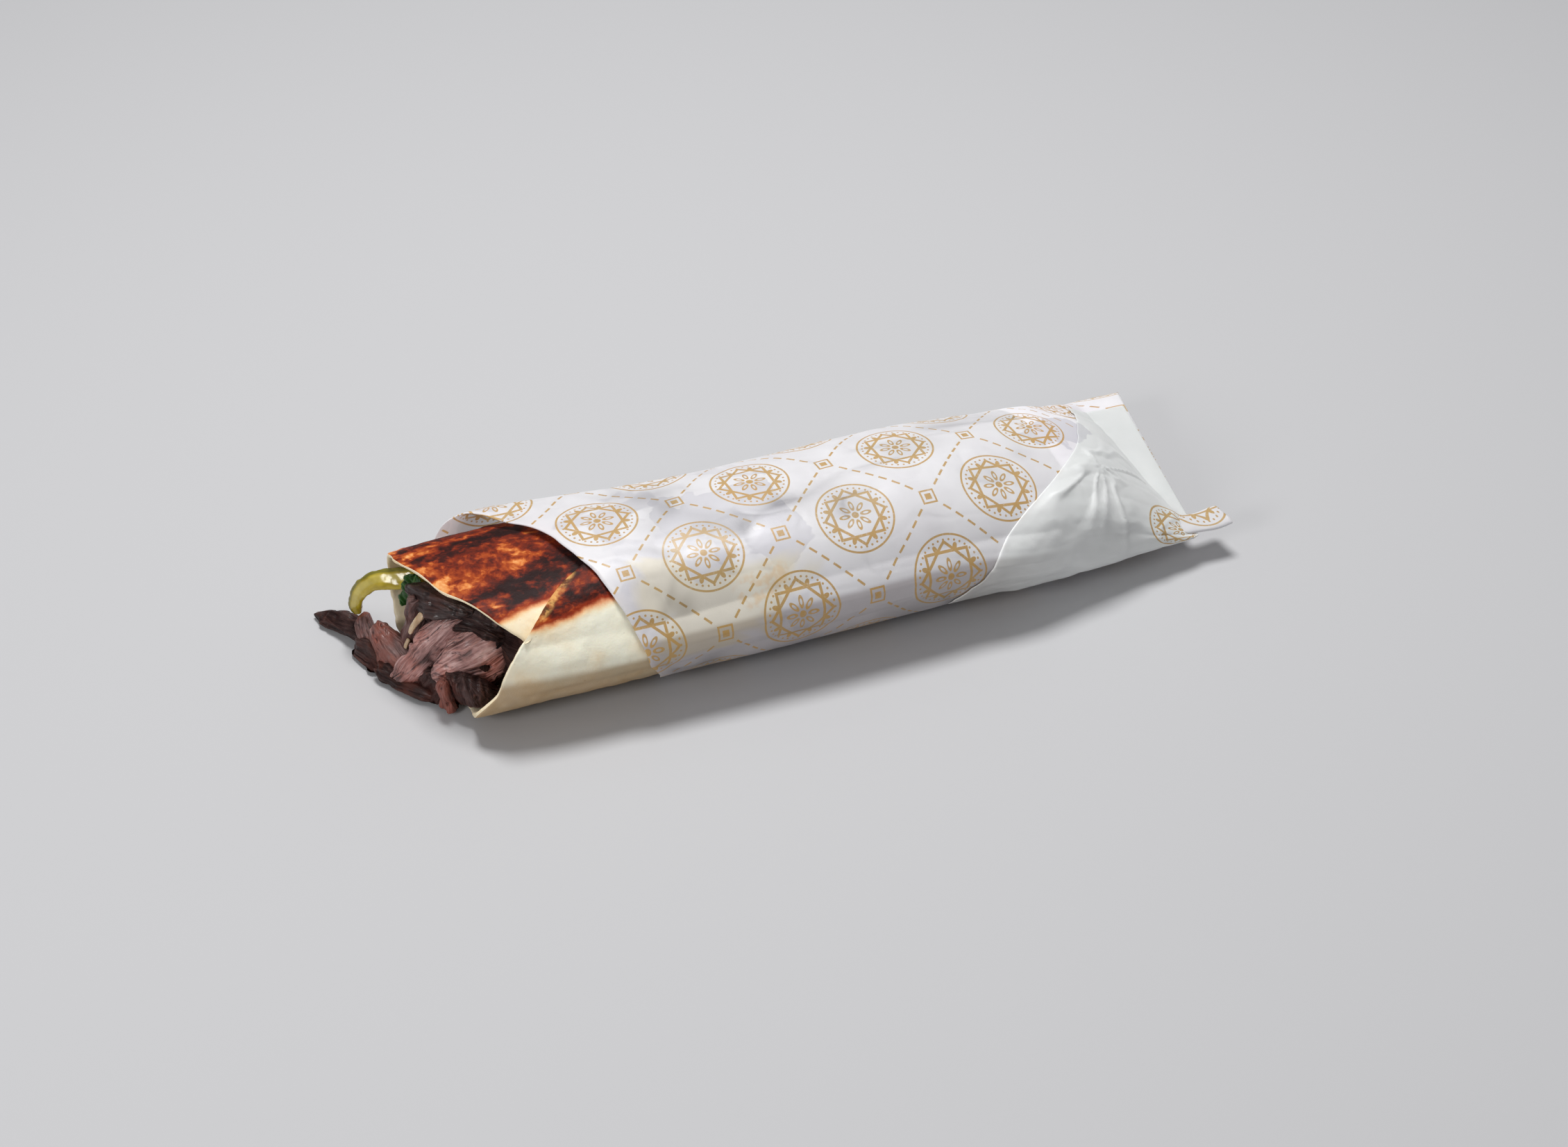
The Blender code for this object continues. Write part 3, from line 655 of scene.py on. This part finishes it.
def slice_grid(index, shear, middle, grain, face, length, width, thickness, bend):
    """A torn slice of meat: the source's bar with thin ragged edges, torn ends and ridges along its grain."""
    rows, columns = int(np.clip(length * 3.4, 76, 126)), 2 * int(np.clip(width * 5, 44, 92))
    grain = Vector(grain).normalized()
    across = Vector(face).cross(grain).normalized()
    face = grain.cross(across)
    t = np.linspace(0, math.pi, rows)[:, None]
    along = -np.cos(t)
    around = np.linspace(0, 2 * math.pi, columns + 1)[:-1]
    round_off = np.clip(1 - np.abs(along) ** 4.5, 0, 1) ** 0.45
    cos, sin = np.cos(around), np.sin(around)
    edge_line = stacked(along * length / 2, np.sign(cos) * 2.0, index * 3.1 + 0 * along)
    ragged = 0.15 * noise(edge_line / (6.0, 1.0, 1.0), 31)
    ragged = ragged + 0.09 * noise(edge_line / (1.7, 1.0, 1.0), 32)
    side = powered(cos, 0.82) * round_off * width / 2
    side = side * (1 + ragged * np.abs(cos) ** 1.5) * (1 + 0.14 * np.sin(along * 3 + index))
    depth = powered(sin, 1.15) * round_off * thickness / 2
    share = side / (width / 2)
    curled = 0.10 * width * np.sin(share * 2.6 + index)
    curled = curled + 0.5 * noise(stacked(along * 2.2, share * 1.6, index * 4.0), 35)
    lift = depth + bend * (0.4 - along**2) + curled
    end = powered(along, 3)
    torn = 0.07 * noise(stacked(side / 3.6, lift / 4.0, index * 2.0), 33)
    torn = torn + 0.035 * noise(stacked(side / 1.1, lift / 2.0, index), 34)
    run = along * length / 2 + end * length * torn + shear * side
    sway = 0.9 * np.sin(run / 6.5 + index) + 0.35 * np.sin(run / 2.6 + 2.0 * index)
    strand = np.abs(noise(stacked(run / 22.0, side / 2.5 + sway * 0.4, lift / 3.4 + index), 60 + index))
    fibre = np.abs(noise(stacked(run / 13.0, side / 0.95 + sway, lift / 1.6 + index * 7.0), 41 + index))
    fine = noise(stacked(run / 6.0, side / 0.5 + 2 * sway, lift / 0.8 + index), 51 + index)
    wave = noise(stacked(run / 6.0, side / 4.0, index * 5.0 + 0 * run), 70 + index)
    pits = np.clip(noise(stacked(run / 2.6, side / 1.7, lift / 2.4 + index), 80 + index) - 0.42, 0, 1)
    grooves = 0.30 * (1 - fibre) ** 3 + 0.42 * (1 - strand) ** 7 + 1.0 * pits
    swell = (0.11 * fine - grooves + 0.30 + 0.34 * wave) * np.minimum(1, round_off * 1.5)
    frame_axes = np.array([grain, across, face])
    points = stacked(run, side, lift) @ frame_axes + middle
    centre = points.mean(axis=1, keepdims=True)
    points = points + (points - centre) / max(width, 1) * lumps(points, index)
    out = unit(stacked(0 * along, cos * thickness, sin * width))
    points = points + swell[..., None] * (out @ frame_axes)
    uvs = stacked(run, around / (2 * math.pi) * 2 * width)
    uvs = np.concatenate([uvs, uvs[:, :1] + (0, 2 * width)], axis=1)
    return points, uvs


def build_beef():
    """The core and its slices, each slice its own piece."""
    around = np.linspace(0, 360, 121)
    stations = np.concatenate([np.linspace(22, 60, 40), np.linspace(62, 181, 24), [184.5]])
    shares = ((22, 0.02), (23, 0.5), (25, 0.8), (32, 0.96), (44, 1.0), (172, 1.0), (181, 0.96), (184.5, 0.5))
    points = roll_points(stations[:, None], around[:-1], -CORE_DEPTH)
    centre = points.mean(axis=1, keepdims=True)
    points = centre + (points - centre) * curve_through(shares, stations)[:, None, None]
    points = points - unit(points - centre) * (0.8 + 0.8 * fractal(points / 3.0, 90, 3))[..., None] * 0.7
    points[..., 0] = points[..., 0] + np.where(points[..., 0] < 40, 1.4 * fractal(points / 4.0, 91, 3), 0)
    uvs = stacked(stations[:, None], arc(around))
    add_closed("beef_core", points, uvs, beef_look("beef_core_look", *CORE_TONE), "beef_filling")
    for index, (name, (tone, *shape)) in enumerate(SLICES.items()):
        points, uvs = slice_grid(index, SLICE_SHEAR.get(name, 0.0), *shape)
        points = tucked_in(points)
        points[..., 2] = np.maximum(points[..., 2], BREAD_LIFT + 0.04 * index)
        look = beef_look("beef_" + name + "_look", *tone)
        add_closed("beef_" + name, points, uvs, look, "beef_filling")


def beef_look(name, lightness, pinkness, wetness):
    """Cooked beef: grey-brown with a purple tinge, streaked along the grain, redder at edges, wet, with
    painted shade in hollows and deep in the mouth.
    """
    look = Look(name)
    u, v = look.uv()
    place = look.place()
    grain = look.vector(u * 0.00008, v * 0.001)
    streak = look.noise(grain, 560, 4, 0.6)
    broad = look.noise(place, 130, 3, 0.6)
    fine = look.noise(grain, 1700, 3, 0.6)
    tone = streak * 0.42 + broad * 0.30 + fine * 0.28
    dark, middle, light = (0.080, 0.025, 0.021), (0.250, 0.124, 0.112), (0.45, 0.285, 0.265)
    depths = (min(lightness, 0.75), lightness, lightness)
    shade = [tuple(c * depth for c in colour) for colour, depth in zip((dark, middle, light), depths)]
    colour = look.ramp_colours(tone, [(0.42, shade[0]), (0.50, shade[1]), (0.59, shade[2])])
    red = look.noise(place, 85, 3, 0.55).ramp(0.48, 0.62) * min(0.15 + 0.55 * pinkness, 0.9)
    warm = tuple(c * (0.12 + 0.88 * lightness) for c in (0.36, 0.096, 0.062))
    colour = look.mix(red, colour, warm)
    edges = look.node("ShaderNodeNewGeometry").outputs["Pointiness"]
    raised = Field(look.tree, edges).ramp(0.505, 0.56)
    # Painted shade: the hollows of each slice's surface are darkened in the colour.
    painted_crevice_shade = Field(look.tree, edges).ramp(0.497, 0.455)
    colour = look.mix(raised * 0.45, colour, tuple(c * (0.18 + 0.82 * lightness) for c in (0.46, 0.20, 0.15)))
    colour = look.mix(painted_crevice_shade * 0.85, colour, (0.022, 0.0065, 0.006))
    # Painted shade: slices deep in the roll's mouth, where the bread shades them, are darkened in the colour.
    x, _, z = look.in_mm(place)
    deep = (x + MIDDLE_X - (z - 14.0) * 0.5).ramp(20.5, 25.5)
    colour = look.mix(deep * 0.85, colour, (0.020, 0.0065, 0.006))
    height = streak * 0.6 + fine * 0.5
    rough = broad * 0.26 + (0.38 - 0.16 * wetness)
    gloss = min(0.12 + 0.9 * lightness + 0.9 * max(wetness - 0.6, 0.0), 1.0)
    return look.finish(
        colour, rough, height, 1.0, 0.0014, (0.04, 0.001, (1.0, 0.3, 0.2)),
        Coat_Weight=(0.08 + 0.45 * wetness) * gloss, Coat_Roughness=0.2, Specular_IOR_Level=0.5 * gloss,
    )


# ---- Toppings ----


def bar_grid(path, width, depth, taper, rows, columns, face, power=1.0):
    """A flat bar swept along a smooth curve through a path, with rounded ends."""
    at = 0.5 - 0.5 * np.cos(math.pi * np.linspace(0, 1, rows))
    line = line_through(path, at)
    run = unit(np.gradient(line, axis=0))
    across = unit(np.cross(face, run))
    lift = np.cross(run, across)
    around = np.linspace(0, 2 * math.pi, columns + 1)[:-1]
    ends = np.clip(1 - np.abs(2 * at - 1) ** 10, 0, 1) ** 0.5
    share = (curve_through(taper, at) * ends)[:, None, None]
    cos, sin = np.cos(around), np.sin(around)
    side = (powered(cos, power) * width / 2)[:, None]
    rise = (powered(sin, power) * depth / 2)[:, None]
    points = line[:, None, :] + share * (side * across[:, None, :] + rise * lift[:, None, :])
    return points, stacked(lengths_along(line)[:, None], np.linspace(0, 1, columns + 1))


def build_toppings():
    taper = ((0, 1.12), (0.4, 0.94), (0.8, 0.66), (1, 0.52))
    points, uvs = bar_grid(PICKLE_PATH, 6.2, 2.4, taper, 110, 56, (-3, -7, 5), 0.75)
    centre = points.mean(axis=1, keepdims=True)
    points = points + (points - centre) * (0.10 * fractal(points / 2.5, 101, 3))[..., None]
    add_closed("pickle_strip_piece", points, uvs, pickle_look(), "pickle_strip")

    onion = onion_look()
    points, uvs = bar_grid(ONION_PATH, 2.4, 1.3, ((0, 0.6), (1, 1)), 50, 32, (-6, -4, 5), 0.6)
    points = points + 0.12 * stacked(0 * points[..., 0], noise(points / 1.4, 111), noise(points / 1.4, 112))
    add_closed("onion_shred_piece", points, uvs, onion, "onion_shred")
    points, uvs = bar_grid(CRUMB_PATH, 1.5, 0.9, ((0, 0.8), (1, 0.9)), 40, 28, (-6, -4, 5), 0.6)
    add_closed("onion_bit", points, uvs, onion)
    build_leaf()


def build_leaf():
    rows, columns = 61, 41
    u = np.linspace(-1, 1, rows)[:, None]
    v = np.linspace(-1, 1, columns)
    lobes = 1 + 0.16 * np.cos(u * 9) + 0.10 * np.abs(np.sin(u * 17 + v))
    outline = np.sqrt(np.clip(1.03 - u**2, 0.004, 1)) * lobes
    down, aside = (-0.30, 0.10, -0.95), (-0.55, 0.80, 0.26)
    axes = np.array([down, aside, np.cross(down, aside)])
    wave = 0.7 * np.sin(u * 4 + 1) * v + 0.5 * np.cos(v * 3)
    wave = wave + 0.22 * np.sin(u * 15 + 9 * np.abs(v)) * np.abs(v)
    vein = -0.16 * np.exp(-((v / 0.07) ** 2)) - 0.07 * np.cos(u * 26 + np.abs(v) * 8) * (np.abs(v) > 0.1)
    points = stacked(u * LEAF_HALF_LENGTH, v * outline * LEAF_HALF_WIDTH, wave + vein) @ axes + LEAF_MIDDLE
    uvs = stacked(u * LEAF_HALF_LENGTH, v * LEAF_HALF_WIDTH)
    mesh = grid_mesh("leaf", points, uvs)
    mesh = with_modifiers("parsley_leaf_piece", mesh, ("SOLIDIFY", {"thickness": 0.35 * MM, "offset": 0}))
    add_piece("parsley_leaf_piece", mesh, [leaf_look()], "parsley_leaf")


def pickle_look():
    """Translucent yellow-green flesh with a darker skin along one edge, wet, and a painted highlight along
    the middle of its face.
    """
    look = Look("pickled_pepper_look")
    u, turn = look.uv()
    place = look.place()
    skin = abs(turn - 0.43).ramp(0.12, 0.06)
    streak = look.noise(look.vector(u * 0.0002, turn * 0.006), 700, 3, 0.6)
    colour = look.ramp_colours(
        streak, [(0.3, (0.33, 0.235, 0.008)), (0.5, (0.48, 0.355, 0.016)), (0.7, (0.62, 0.49, 0.06))]
    )
    colour = look.mix(skin * 0.9, colour, (0.135, 0.125, 0.012))
    # Painted highlight: a lighter line along the middle of the face.
    colour = look.mix(abs(turn - 0.27).ramp(0.06, 0.02) * 0.30, colour, (0.80, 0.72, 0.28))
    colour = look.mix(look.noise(place, 260, 2).ramp(0.6, 0.75) * 0.4, colour, (0.42, 0.32, 0.03))
    return look.finish(
        colour, 0.18, streak, 0.2, 0.0004, (0.35, 0.0015, (1.0, 0.8, 0.15)),
        Coat_Weight=0.35, Coat_Roughness=0.1,
    )


def onion_look():
    """Cooked onion: pale, streaked along its length and a little see-through."""
    look = Look("onion_look")
    u, turn = look.uv()
    streak = look.noise(look.vector(u * 0.0002, turn * 0.004), 1100, 3, 0.6)
    colour = look.ramp_colours(
        streak, [(0.3, (0.34, 0.20, 0.11)), (0.5, (0.56, 0.40, 0.25)), (0.7, (0.72, 0.58, 0.40))]
    )
    return look.finish(colour, 0.28, streak, 0.25, 0.0004, (0.3, 0.002))


def leaf_look():
    """Dark green herb with paler veins."""
    look = Look("parsley_look")
    u, v = look.uv()
    place = look.place()
    vein = abs(v).ramp(0.28, 0.10)
    side = ((u * 4.6 + abs(v) * 2.6).cos()).ramp(0.86, 0.99)
    patch = look.noise(place, 500, 3, 0.6)
    colour = look.ramp_colours(patch, [(0.3, (0.010, 0.045, 0.008)), (0.7, (0.035, 0.120, 0.018))])
    colour = look.mix(vein.max(side * 0.5) * 0.6, colour, (0.09, 0.19, 0.04))
    return look.finish(colour, 0.42, patch, 0.3, 0.0003, (0.1, 0.001))


# ---- Paper ----


def from_below(angle):
    """An angle as -90 to 270, so that its ends meet under the roll."""
    return (np.asarray(angle, float) + 90) % 360 - 90


def paper_outset(x, angle):
    """How far the paper's smooth outer face stands off the bread: loose at the far top of its front edge."""
    turned = from_below(angle)
    on_far_top = ease((turned + 40) / 70) * (1 - ease((turned - 38) / 30))
    near_front = 1 - ease((np.asarray(x, float) - 35) / 75)
    return PAPER_GAP + PAPER_FLARE * on_far_top * near_front + PAPER_THICKNESS


def fin_end(across):
    """The slanted end of the pinched paper, at each place across it."""
    half = HALF_WIDTH[-1][1]
    share = (across - SIDE_SHIFT[-1][1] + half) / (2 * half)
    return FIN_END_NEAR + share * (FIN_END_FAR - FIN_END_NEAR)


def crumple(x, angle):
    """The paper's dents and creases, in millimetres, at places on the roll."""
    round_roll = arc(angle % 360)
    turn = 2 * math.pi * round_roll / GIRTH
    radius = GIRTH / (2 * math.pi)
    place = stacked(x, radius * np.cos(turn), radius * np.sin(turn))
    dents = 0.34 * noise(place / (26.0, 13.0, 13.0), 130) + 0.14 * noise(place / 8.0, 131)
    creases = 0.0
    for k, (size, deep) in enumerate(((19.0, 0.15), (9.0, 0.11))):
        field = noise(place / (size * 1.5, size, size), 135 + k)
        creases = creases + deep * (1 - np.minimum(np.abs(field) * 5, 1)) ** 2
    in_fin = ease((x - 182) / 40)
    folds = (0.9 * np.abs(noise(stacked(x / 26.0, round_roll / 7.0, 3.3), 139)) - 0.3) * in_fin
    return dents - creases + folds


def calm(x):
    """How strong the dents are along the roll: weaker over the pinched end."""
    return 1 - 0.7 * ease((x - 236) / 10)


def near_edge(x, angle):
    """The sharp fold along the near side."""
    middle = 175.0 - 2.0 * ease((x - 60) / 40)
    run = ease((x - 12) / 22) * (1 - ease((x - 176) / 30))
    return 2.6 * tent(angle, middle, 17.0) * run


def paper_place(x, angle, outset):
    """A point of the paper's outer face. Past the lip, x runs to the fin's slanted end and the fin closes."""
    x, angle, outset = as_grids(x, angle, outset)
    on_roll = np.minimum(x, LIP_START)
    points = roll_points(on_roll, angle, outset)
    opposite = roll_points(on_roll, (180 - angle + 180) % 360, outset)
    share = np.clip((x - LIP_START) / 10.0, 0, 1)
    middle = (points[..., 2] + opposite[..., 2]) / 2
    thin = np.sqrt(np.clip(1 - share**4, 0, 1)) * (1 - 0.3 * share)
    moved = points.copy()
    moved[..., 0] = points[..., 0] + share * (fin_end(points[..., 1]) - LIP_START)
    moved[..., 2] = np.where(share > 0, middle + thin * (points[..., 2] - middle), points[..., 2])
    return moved


def build_paper():
    around = np.linspace(-90, 270, 289)
    heading = np.radians(around)
    rim = curve_through(PAPER_RIM, around)
    rim = rim + 0.25 * noise(stacked(np.cos(heading) * 7, np.sin(heading) * 7, 0.5), 120)
    rim[-1] = rim[0]

    def relief(x, quiet):
        """How far the dents and the near fold stand out. The rim itself has no dents."""
        dents = crumple(x, around) * (ease((x - rim) / 6) * quiet)
        return (dents + near_edge(x, around)) * floor_share(around)

    x = rim + np.linspace(0, 1, 178)[:, None] * (LIP_START - rim)
    lip = np.linspace(LIP_START, LIP_START + 10, 15)[1:, None] * np.ones_like(around)
    x = np.vstack([x, lip])
    outer = paper_place(x, around, paper_outset(x, around) + relief(x, calm(x)))
    inner_x = rim + np.linspace(0, 1, 26)[::-1][:, None] * (BREAD_END + PAPER_GAP - rim)
    inner_out = paper_outset(inner_x, around) - 0.32 + np.maximum(relief(inner_x, 1.0), -0.1)
    inner = roll_points(inner_x, around, inner_out)
    points = np.vstack([inner, outer])[:, :-1]
    uvs = stacked(np.vstack([inner_x, x]), arc(around))
    add_closed("paper_wrap", points, uvs, paper_look("paper_printed", True), "paper")


def floor_share(angle):
    """1 over the roll's top and sides, and 0 on its underside, which stays flat on the table."""
    turned = from_below(angle)
    return ease((turned + 55) / 30) * (1 - ease((turned - 205) / 30))


def build_overlay():
    """The outer turn, whose slanted free edge crosses the top near the fin."""
    rows, columns = 180, 96
    around = np.linspace(40, 214, rows)[:, None]
    edge = curve_through(OVERLAY_EDGE, around)
    edge = edge + 0.5 * noise(stacked(around / 14.0, 0.5, 0.5), 150)
    edge = edge + 0.15 * noise(stacked(around / 4.0, 0.5, 1.5), 151)
    x = edge + np.linspace(0, 1, columns) * (LIP_START + 9.4 - edge)
    past = x - edge
    bulge = 1.5 * ease(past / 9) * (1 - ease((x - 222) / 16)) * bump(around, 125, 70)
    base = crumple(x, around) * calm(x) + near_edge(x, around)
    own = 0.60 * fractal(stacked(x / 12.0, arc(around) / 8.0, 5.0), 160, 3)
    own = own * ease(past / 5) * (1 - ease((x - 232) / 14))
    gathers = ridged(x, around) * ease(past / 8) * (1 - ease((x - 236) / 12))
    lift = 0.42 + bulge + np.maximum(own + gathers, -0.25)
    lift = lift * (1 - ease((x - 238) / 14) * 0.75)
    outset = paper_outset(x, around) + base * floor_share(around)
    outset = outset + lift * ease((216 - around) / 14 + 0.12)
    mesh = grid_mesh("overlay", paper_place(x, around, outset), stacked(x, arc(around)))
    mesh = with_modifiers("paper_overlay", mesh, ("SOLIDIFY", {"thickness": 0.25 * MM, "offset": -1}))
    add_piece("paper_overlay", mesh, [paper_look("paper_blank", False)], "paper")


def ridged(x, angle):
    """Crumples that fan out from the fold near the fin's top."""
    dx, dy = x - 214.0, arc(angle) - arc(118)
    reach = np.hypot(dx, dy)
    turn = np.arctan2(dy, dx)
    field = noise(stacked(turn * 2.4, reach / 16.0, 7.0), 170)
    return 0.95 * (1 - np.minimum(np.abs(field) * 2.6, 1)) ** 1.5 * bump(reach, 12, 34)


def build_tail():
    """The tail: the paper's end rolled flat, with its layers showing at the open end."""
    rows, columns = 46, 120
    at = np.linspace(0, 1, rows)
    line = line_through(TAIL_PATH, at)
    turns = np.linspace(0, 2 * math.pi * TAIL_TURNS, columns)
    inward = 1 - 0.10 * turns / (2 * math.pi)
    thin = 1 - 0.26 * turns / (2 * math.pi)
    half, deep = TAIL_HALF_WIDTH, TAIL_HALF_DEPTH
    cos, sin = np.cos(turns), np.sin(turns)
    side = powered(cos, 0.8) * half * inward
    rise = powered(sin, 0.8) * deep * thin
    ragged = 0.7 * noise(stacked(turns * 1.3, 0.5, 0.5), 180)
    points = line[:, None, :] + stacked(
        at[:, None] ** 6 * (ragged - 0.5 * (1 + cos) * 0.6),
        side * (1 + 0.04 * np.sin(at * 9))[:, None],
        rise + 0.22 * noise(stacked(line[:, :1] / 5.0, side / 3.0, 0.5), 181),
    )
    uvs = stacked(line[:, :1], turns * 3.2)
    mesh = grid_mesh("tail", points, uvs)
    mesh = with_modifiers("paper_tail", mesh, ("SOLIDIFY", {"thickness": 0.2 * MM, "offset": 0}))
    add_piece("paper_tail", mesh, [paper_look("paper_tail_look", True)], "paper")


PRINT_PITCH = 47.0
# The one medallion that shows on the blank outer turn: its place along the roll, and its angle.
CUT_MOTIF = (236.5, 158)


def distance(x, y, weight_x=1.0, weight_y=1.0):
    return (x * x * weight_x + y * y * weight_y).root()


def off_whole(turn):
    """How far a number is from the nearest whole number."""
    return turn - (turn + 0.5).floor()


def print_mask(u, v):
    """A generic print: star medallions in a dashed trellis, as 1 where there is ink."""
    pitch = PRINT_PITCH
    p, q = (u + v) / pitch, (u - v) / pitch
    a, b = p.fract() - 0.5, q.fract() - 0.5
    x, y = (a + b) * (pitch / 2), (a - b) * (pitch / 2)
    r = distance(x, y)

    def line(off, width):
        return abs(off).ramp(width + 0.09, width - 0.09)

    ax, ay = abs(x), abs(y)
    square = ax.max(ay)
    turned = (ax + ay) * (1 / math.sqrt(2))
    rings = line(r - 11.5, 0.30)
    star = line(square - 6.7, 0.42).max(line(turned - 6.7, 0.42))
    sector = math.pi / 4
    heading = y.atan2(x) / sector
    folded = off_whole(heading) * sector
    px, py = r * folded.cos(), abs(r * folded.sin())
    petal = distance(px - 3.3, py, 1 / 2.9, 1.9) - 1.0
    petals = petal.ramp(0.12, -0.04)
    slit = petal.ramp(-0.42, -0.58)
    between = off_whole(heading + 0.5) * sector
    qx, qy = r * between.cos(), r * between.sin()
    drops = (distance(qx - 8.3, qy, 0.75, 2.2) - 1.0).ramp(0.10, -0.08)
    dot_turn = off_whole(heading * 4.5) * (sector / 4.5)
    dots = distance(r - 10.0, r * dot_turn).ramp(0.42, 0.26)
    heart = r.ramp(1.15, 0.95)
    medallion = highest(rings, star, petals - slit, drops, dots, heart)

    def dashed(near, run):
        """A trellis line, broken into dashes along its run."""
        return line(near * side, 0.34) * abs((run * 8.0).fract() - 0.5).ramp(0.33, 0.30)

    side = pitch / math.sqrt(2)
    near_a, near_b = 0.5 - abs(a), 0.5 - abs(b)
    dashes = dashed(near_a, q).max(dashed(near_b, p))
    kite = (near_a + near_b) * side
    corner = kite.ramp(3.4, 3.2) - kite.ramp(2.6, 2.4) + kite.ramp(1.5, 1.3)
    away = kite.ramp(4.0, 4.6)
    return highest(medallion, dashes * away, corner)


# The paper's darker and lighter tones, then its crisp grey stains: place along the roll, angle, half sizes.
PRINTED_SHEET = ((0.78, 0.755, 0.79), (0.87, 0.85, 0.88))
BLANK_SHEET = ((0.87, 0.905, 0.885), (0.93, 0.955, 0.935))
GREY_STAINS = ((94, 100, 17, 16), (105, 123, 12, 8), (211, 86, 13, 10))


def paper_look(name, printed):
    """Greaseproof paper: cool white, slightly glossy, darker and clearer where grease has soaked in, with
    painted shade below the near-side fold.
    """
    look = Look(name)
    u, v = look.uv()
    place = look.place()
    fibre = look.noise(place, 2200, 3, 0.6)
    cloud = look.noise(place, 42, 3, 0.55)
    darker, lighter = PRINTED_SHEET if printed else BLANK_SHEET
    colour = look.ramp_colours(cloud, [(0.3, darker), (0.6, lighter)])
    front = u.ramp(150.0, 70.0)
    sheet = look.vector(u * 0.001, v * 0.001)
    blotch = look.noise(look.vector(u * 0.001, v * 0.0011), 34, 3, 0.55, 0.6)
    soaked = blotch.ramp(0.52, 0.56) * front
    colour = look.mix(soaked * 0.45, colour, (0.53, 0.51, 0.56))
    crisp = look.noise(sheet, 70, 3, 0.5, 0.2)
    faint = spot(u, v, 68, 118, 18, 12, crisp, 0.5) * 0.6
    grey = highest(faint, *(spot(u, v, *stain, crisp, 0.9) for stain in GREY_STAINS))
    colour = look.mix(grey * 0.55, colour, (0.52, 0.51, 0.57))
    rings = look.cells(sheet, 95).ramp(0.42, 0.36)
    colour = look.mix(rings * spot(u, v, 28, 30, 20, 15, blotch) * 0.35, colour, (0.58, 0.57, 0.58))
    yellow = spot(u, v, 86, 153, 27, 12, blotch).max(spot(u, v, 67, 141, 14, 11, blotch))
    colour = look.mix(yellow * 0.6, colour, (0.88, 0.76, 0.50))
    orange = spot(u, v, 98, 154, 10, 7, blotch) * look.noise(place, 260, 2).ramp(0.42, 0.62)
    colour = look.mix(orange * 0.5, colour, (0.80, 0.47, 0.20))
    # Painted shade: below the near-side fold and over the underside, the colour is darkened for the shade
    # that falls there.
    below = (v - arc(167)).ramp(-0.5, 1.5) * u.ramp(200.0, 160.0) * (v - arc(300)).ramp(0.0, -9.0)
    colour = look.mix(below * 0.95, colour, (0.56, 0.53, 0.52), "MULTIPLY")

    if printed:
        ink = print_mask(u + 11.0, v + 4.0)
    else:
        across, round_it = u - CUT_MOTIF[0], v - arc(CUT_MOTIF[1])
        ink = print_mask(across + PRINT_PITCH / 2, round_it) * distance(across, round_it).ramp(12.2, 12.0)
    worn = look.noise(place, 1400, 3, 0.6).ramp(0.30, 0.45, 0.75, 1.0)
    colour = look.mix(ink * worn * 0.95, colour, (0.52, 0.30, 0.085))
    height = fibre * 0.25 + look.noise(place, 260, 3, 0.5) * 0.6
    rough = 0.46 - soaked * 0.12 + fibre * 0.08
    return look.finish(
        colour, rough, height, 0.22, 0.0006, (0.6, 0.002, (1.0, 1.0, 1.0)),
        Coat_Weight=0.12, Coat_Roughness=0.25,
    )


def spot(u, v, middle_u, angle, half_u, half_v, noise_field, core=0.55):
    """A stain round a place, its edge moved by noise. The nearer core is to 1, the crisper the edge."""
    away = distance((u - middle_u) / half_u, (v - arc(angle)) / half_v)
    return (away + (noise_field - 0.5) * 3.0).ramp(1.0, core)


# ---- Surroundings ----

# Each light's place and the point it is turned towards, in metres, its size and its power.
LIGHTS = {
    "key": ((0.05, 0.30, 1.20), (0.0, 0.0, 0.0), 0.45, 13.5),
    "side": ((-0.98, -0.52, 0.56), (-0.12, 0.0, 0.02), 0.35, 4.2),
    "front": ((-0.2, -1.2, 1.0), (0.0, 0.0, 0.02), 0.8, 0.4),
}


def build_surroundings():
    mesh = bpy.data.meshes.new("floor")
    half = 6.0
    corners = [(-half, -half, 0), (half, -half, 0), (half, half, 0), (-half, half, 0)]
    mesh.from_pydata(corners, [], [(0, 1, 2, 3)])
    floor = bpy.data.objects.new("floor", mesh)
    bpy.context.scene.collection.objects.link(floor)
    look = Look("floor_look")
    floor.data.materials.append(look.finish((0.50, 0.50, 0.51), 0.75))

    world = bpy.data.worlds.new("studio")
    world.use_nodes = True
    sky = world.node_tree.nodes["Background"]
    sky.inputs["Color"].default_value = (0.98, 0.98, 1.0, 1)
    sky.inputs["Strength"].default_value = 0.27
    bpy.context.scene.world = world
    bpy.context.scene.view_settings.view_transform = "Standard"
    for name, (at, towards, size, energy) in LIGHTS.items():
        data = bpy.data.lights.new(name, "AREA")
        data.shape, data.size, data.energy = "DISK", size, energy
        add_aimed(bpy.data.objects.new(name, data), at, towards)

    camera_data = bpy.data.cameras.new("camera")
    camera_data.lens = 65.0
    camera_data.sensor_width = 36.0
    camera = bpy.data.objects.new("camera", camera_data)
    add_aimed(camera, (-0.27465, -0.64450, 0.49614), (-0.0026, -0.00357, 0.0086))
    bpy.context.scene.camera = camera


def add_aimed(thing, at, towards):
    """Puts a light or the camera at a place in metres, turned towards a point."""
    thing.location = Vector(at)
    thing.rotation_euler = (Vector(towards) - thing.location).to_track_quat("-Z", "Y").to_euler()
    bpy.context.scene.collection.objects.link(thing)


build_bread()
build_beef()
build_toppings()
build_paper()
build_overlay()
build_tail()
build_surroundings()

bpy.context.view_layer.update()
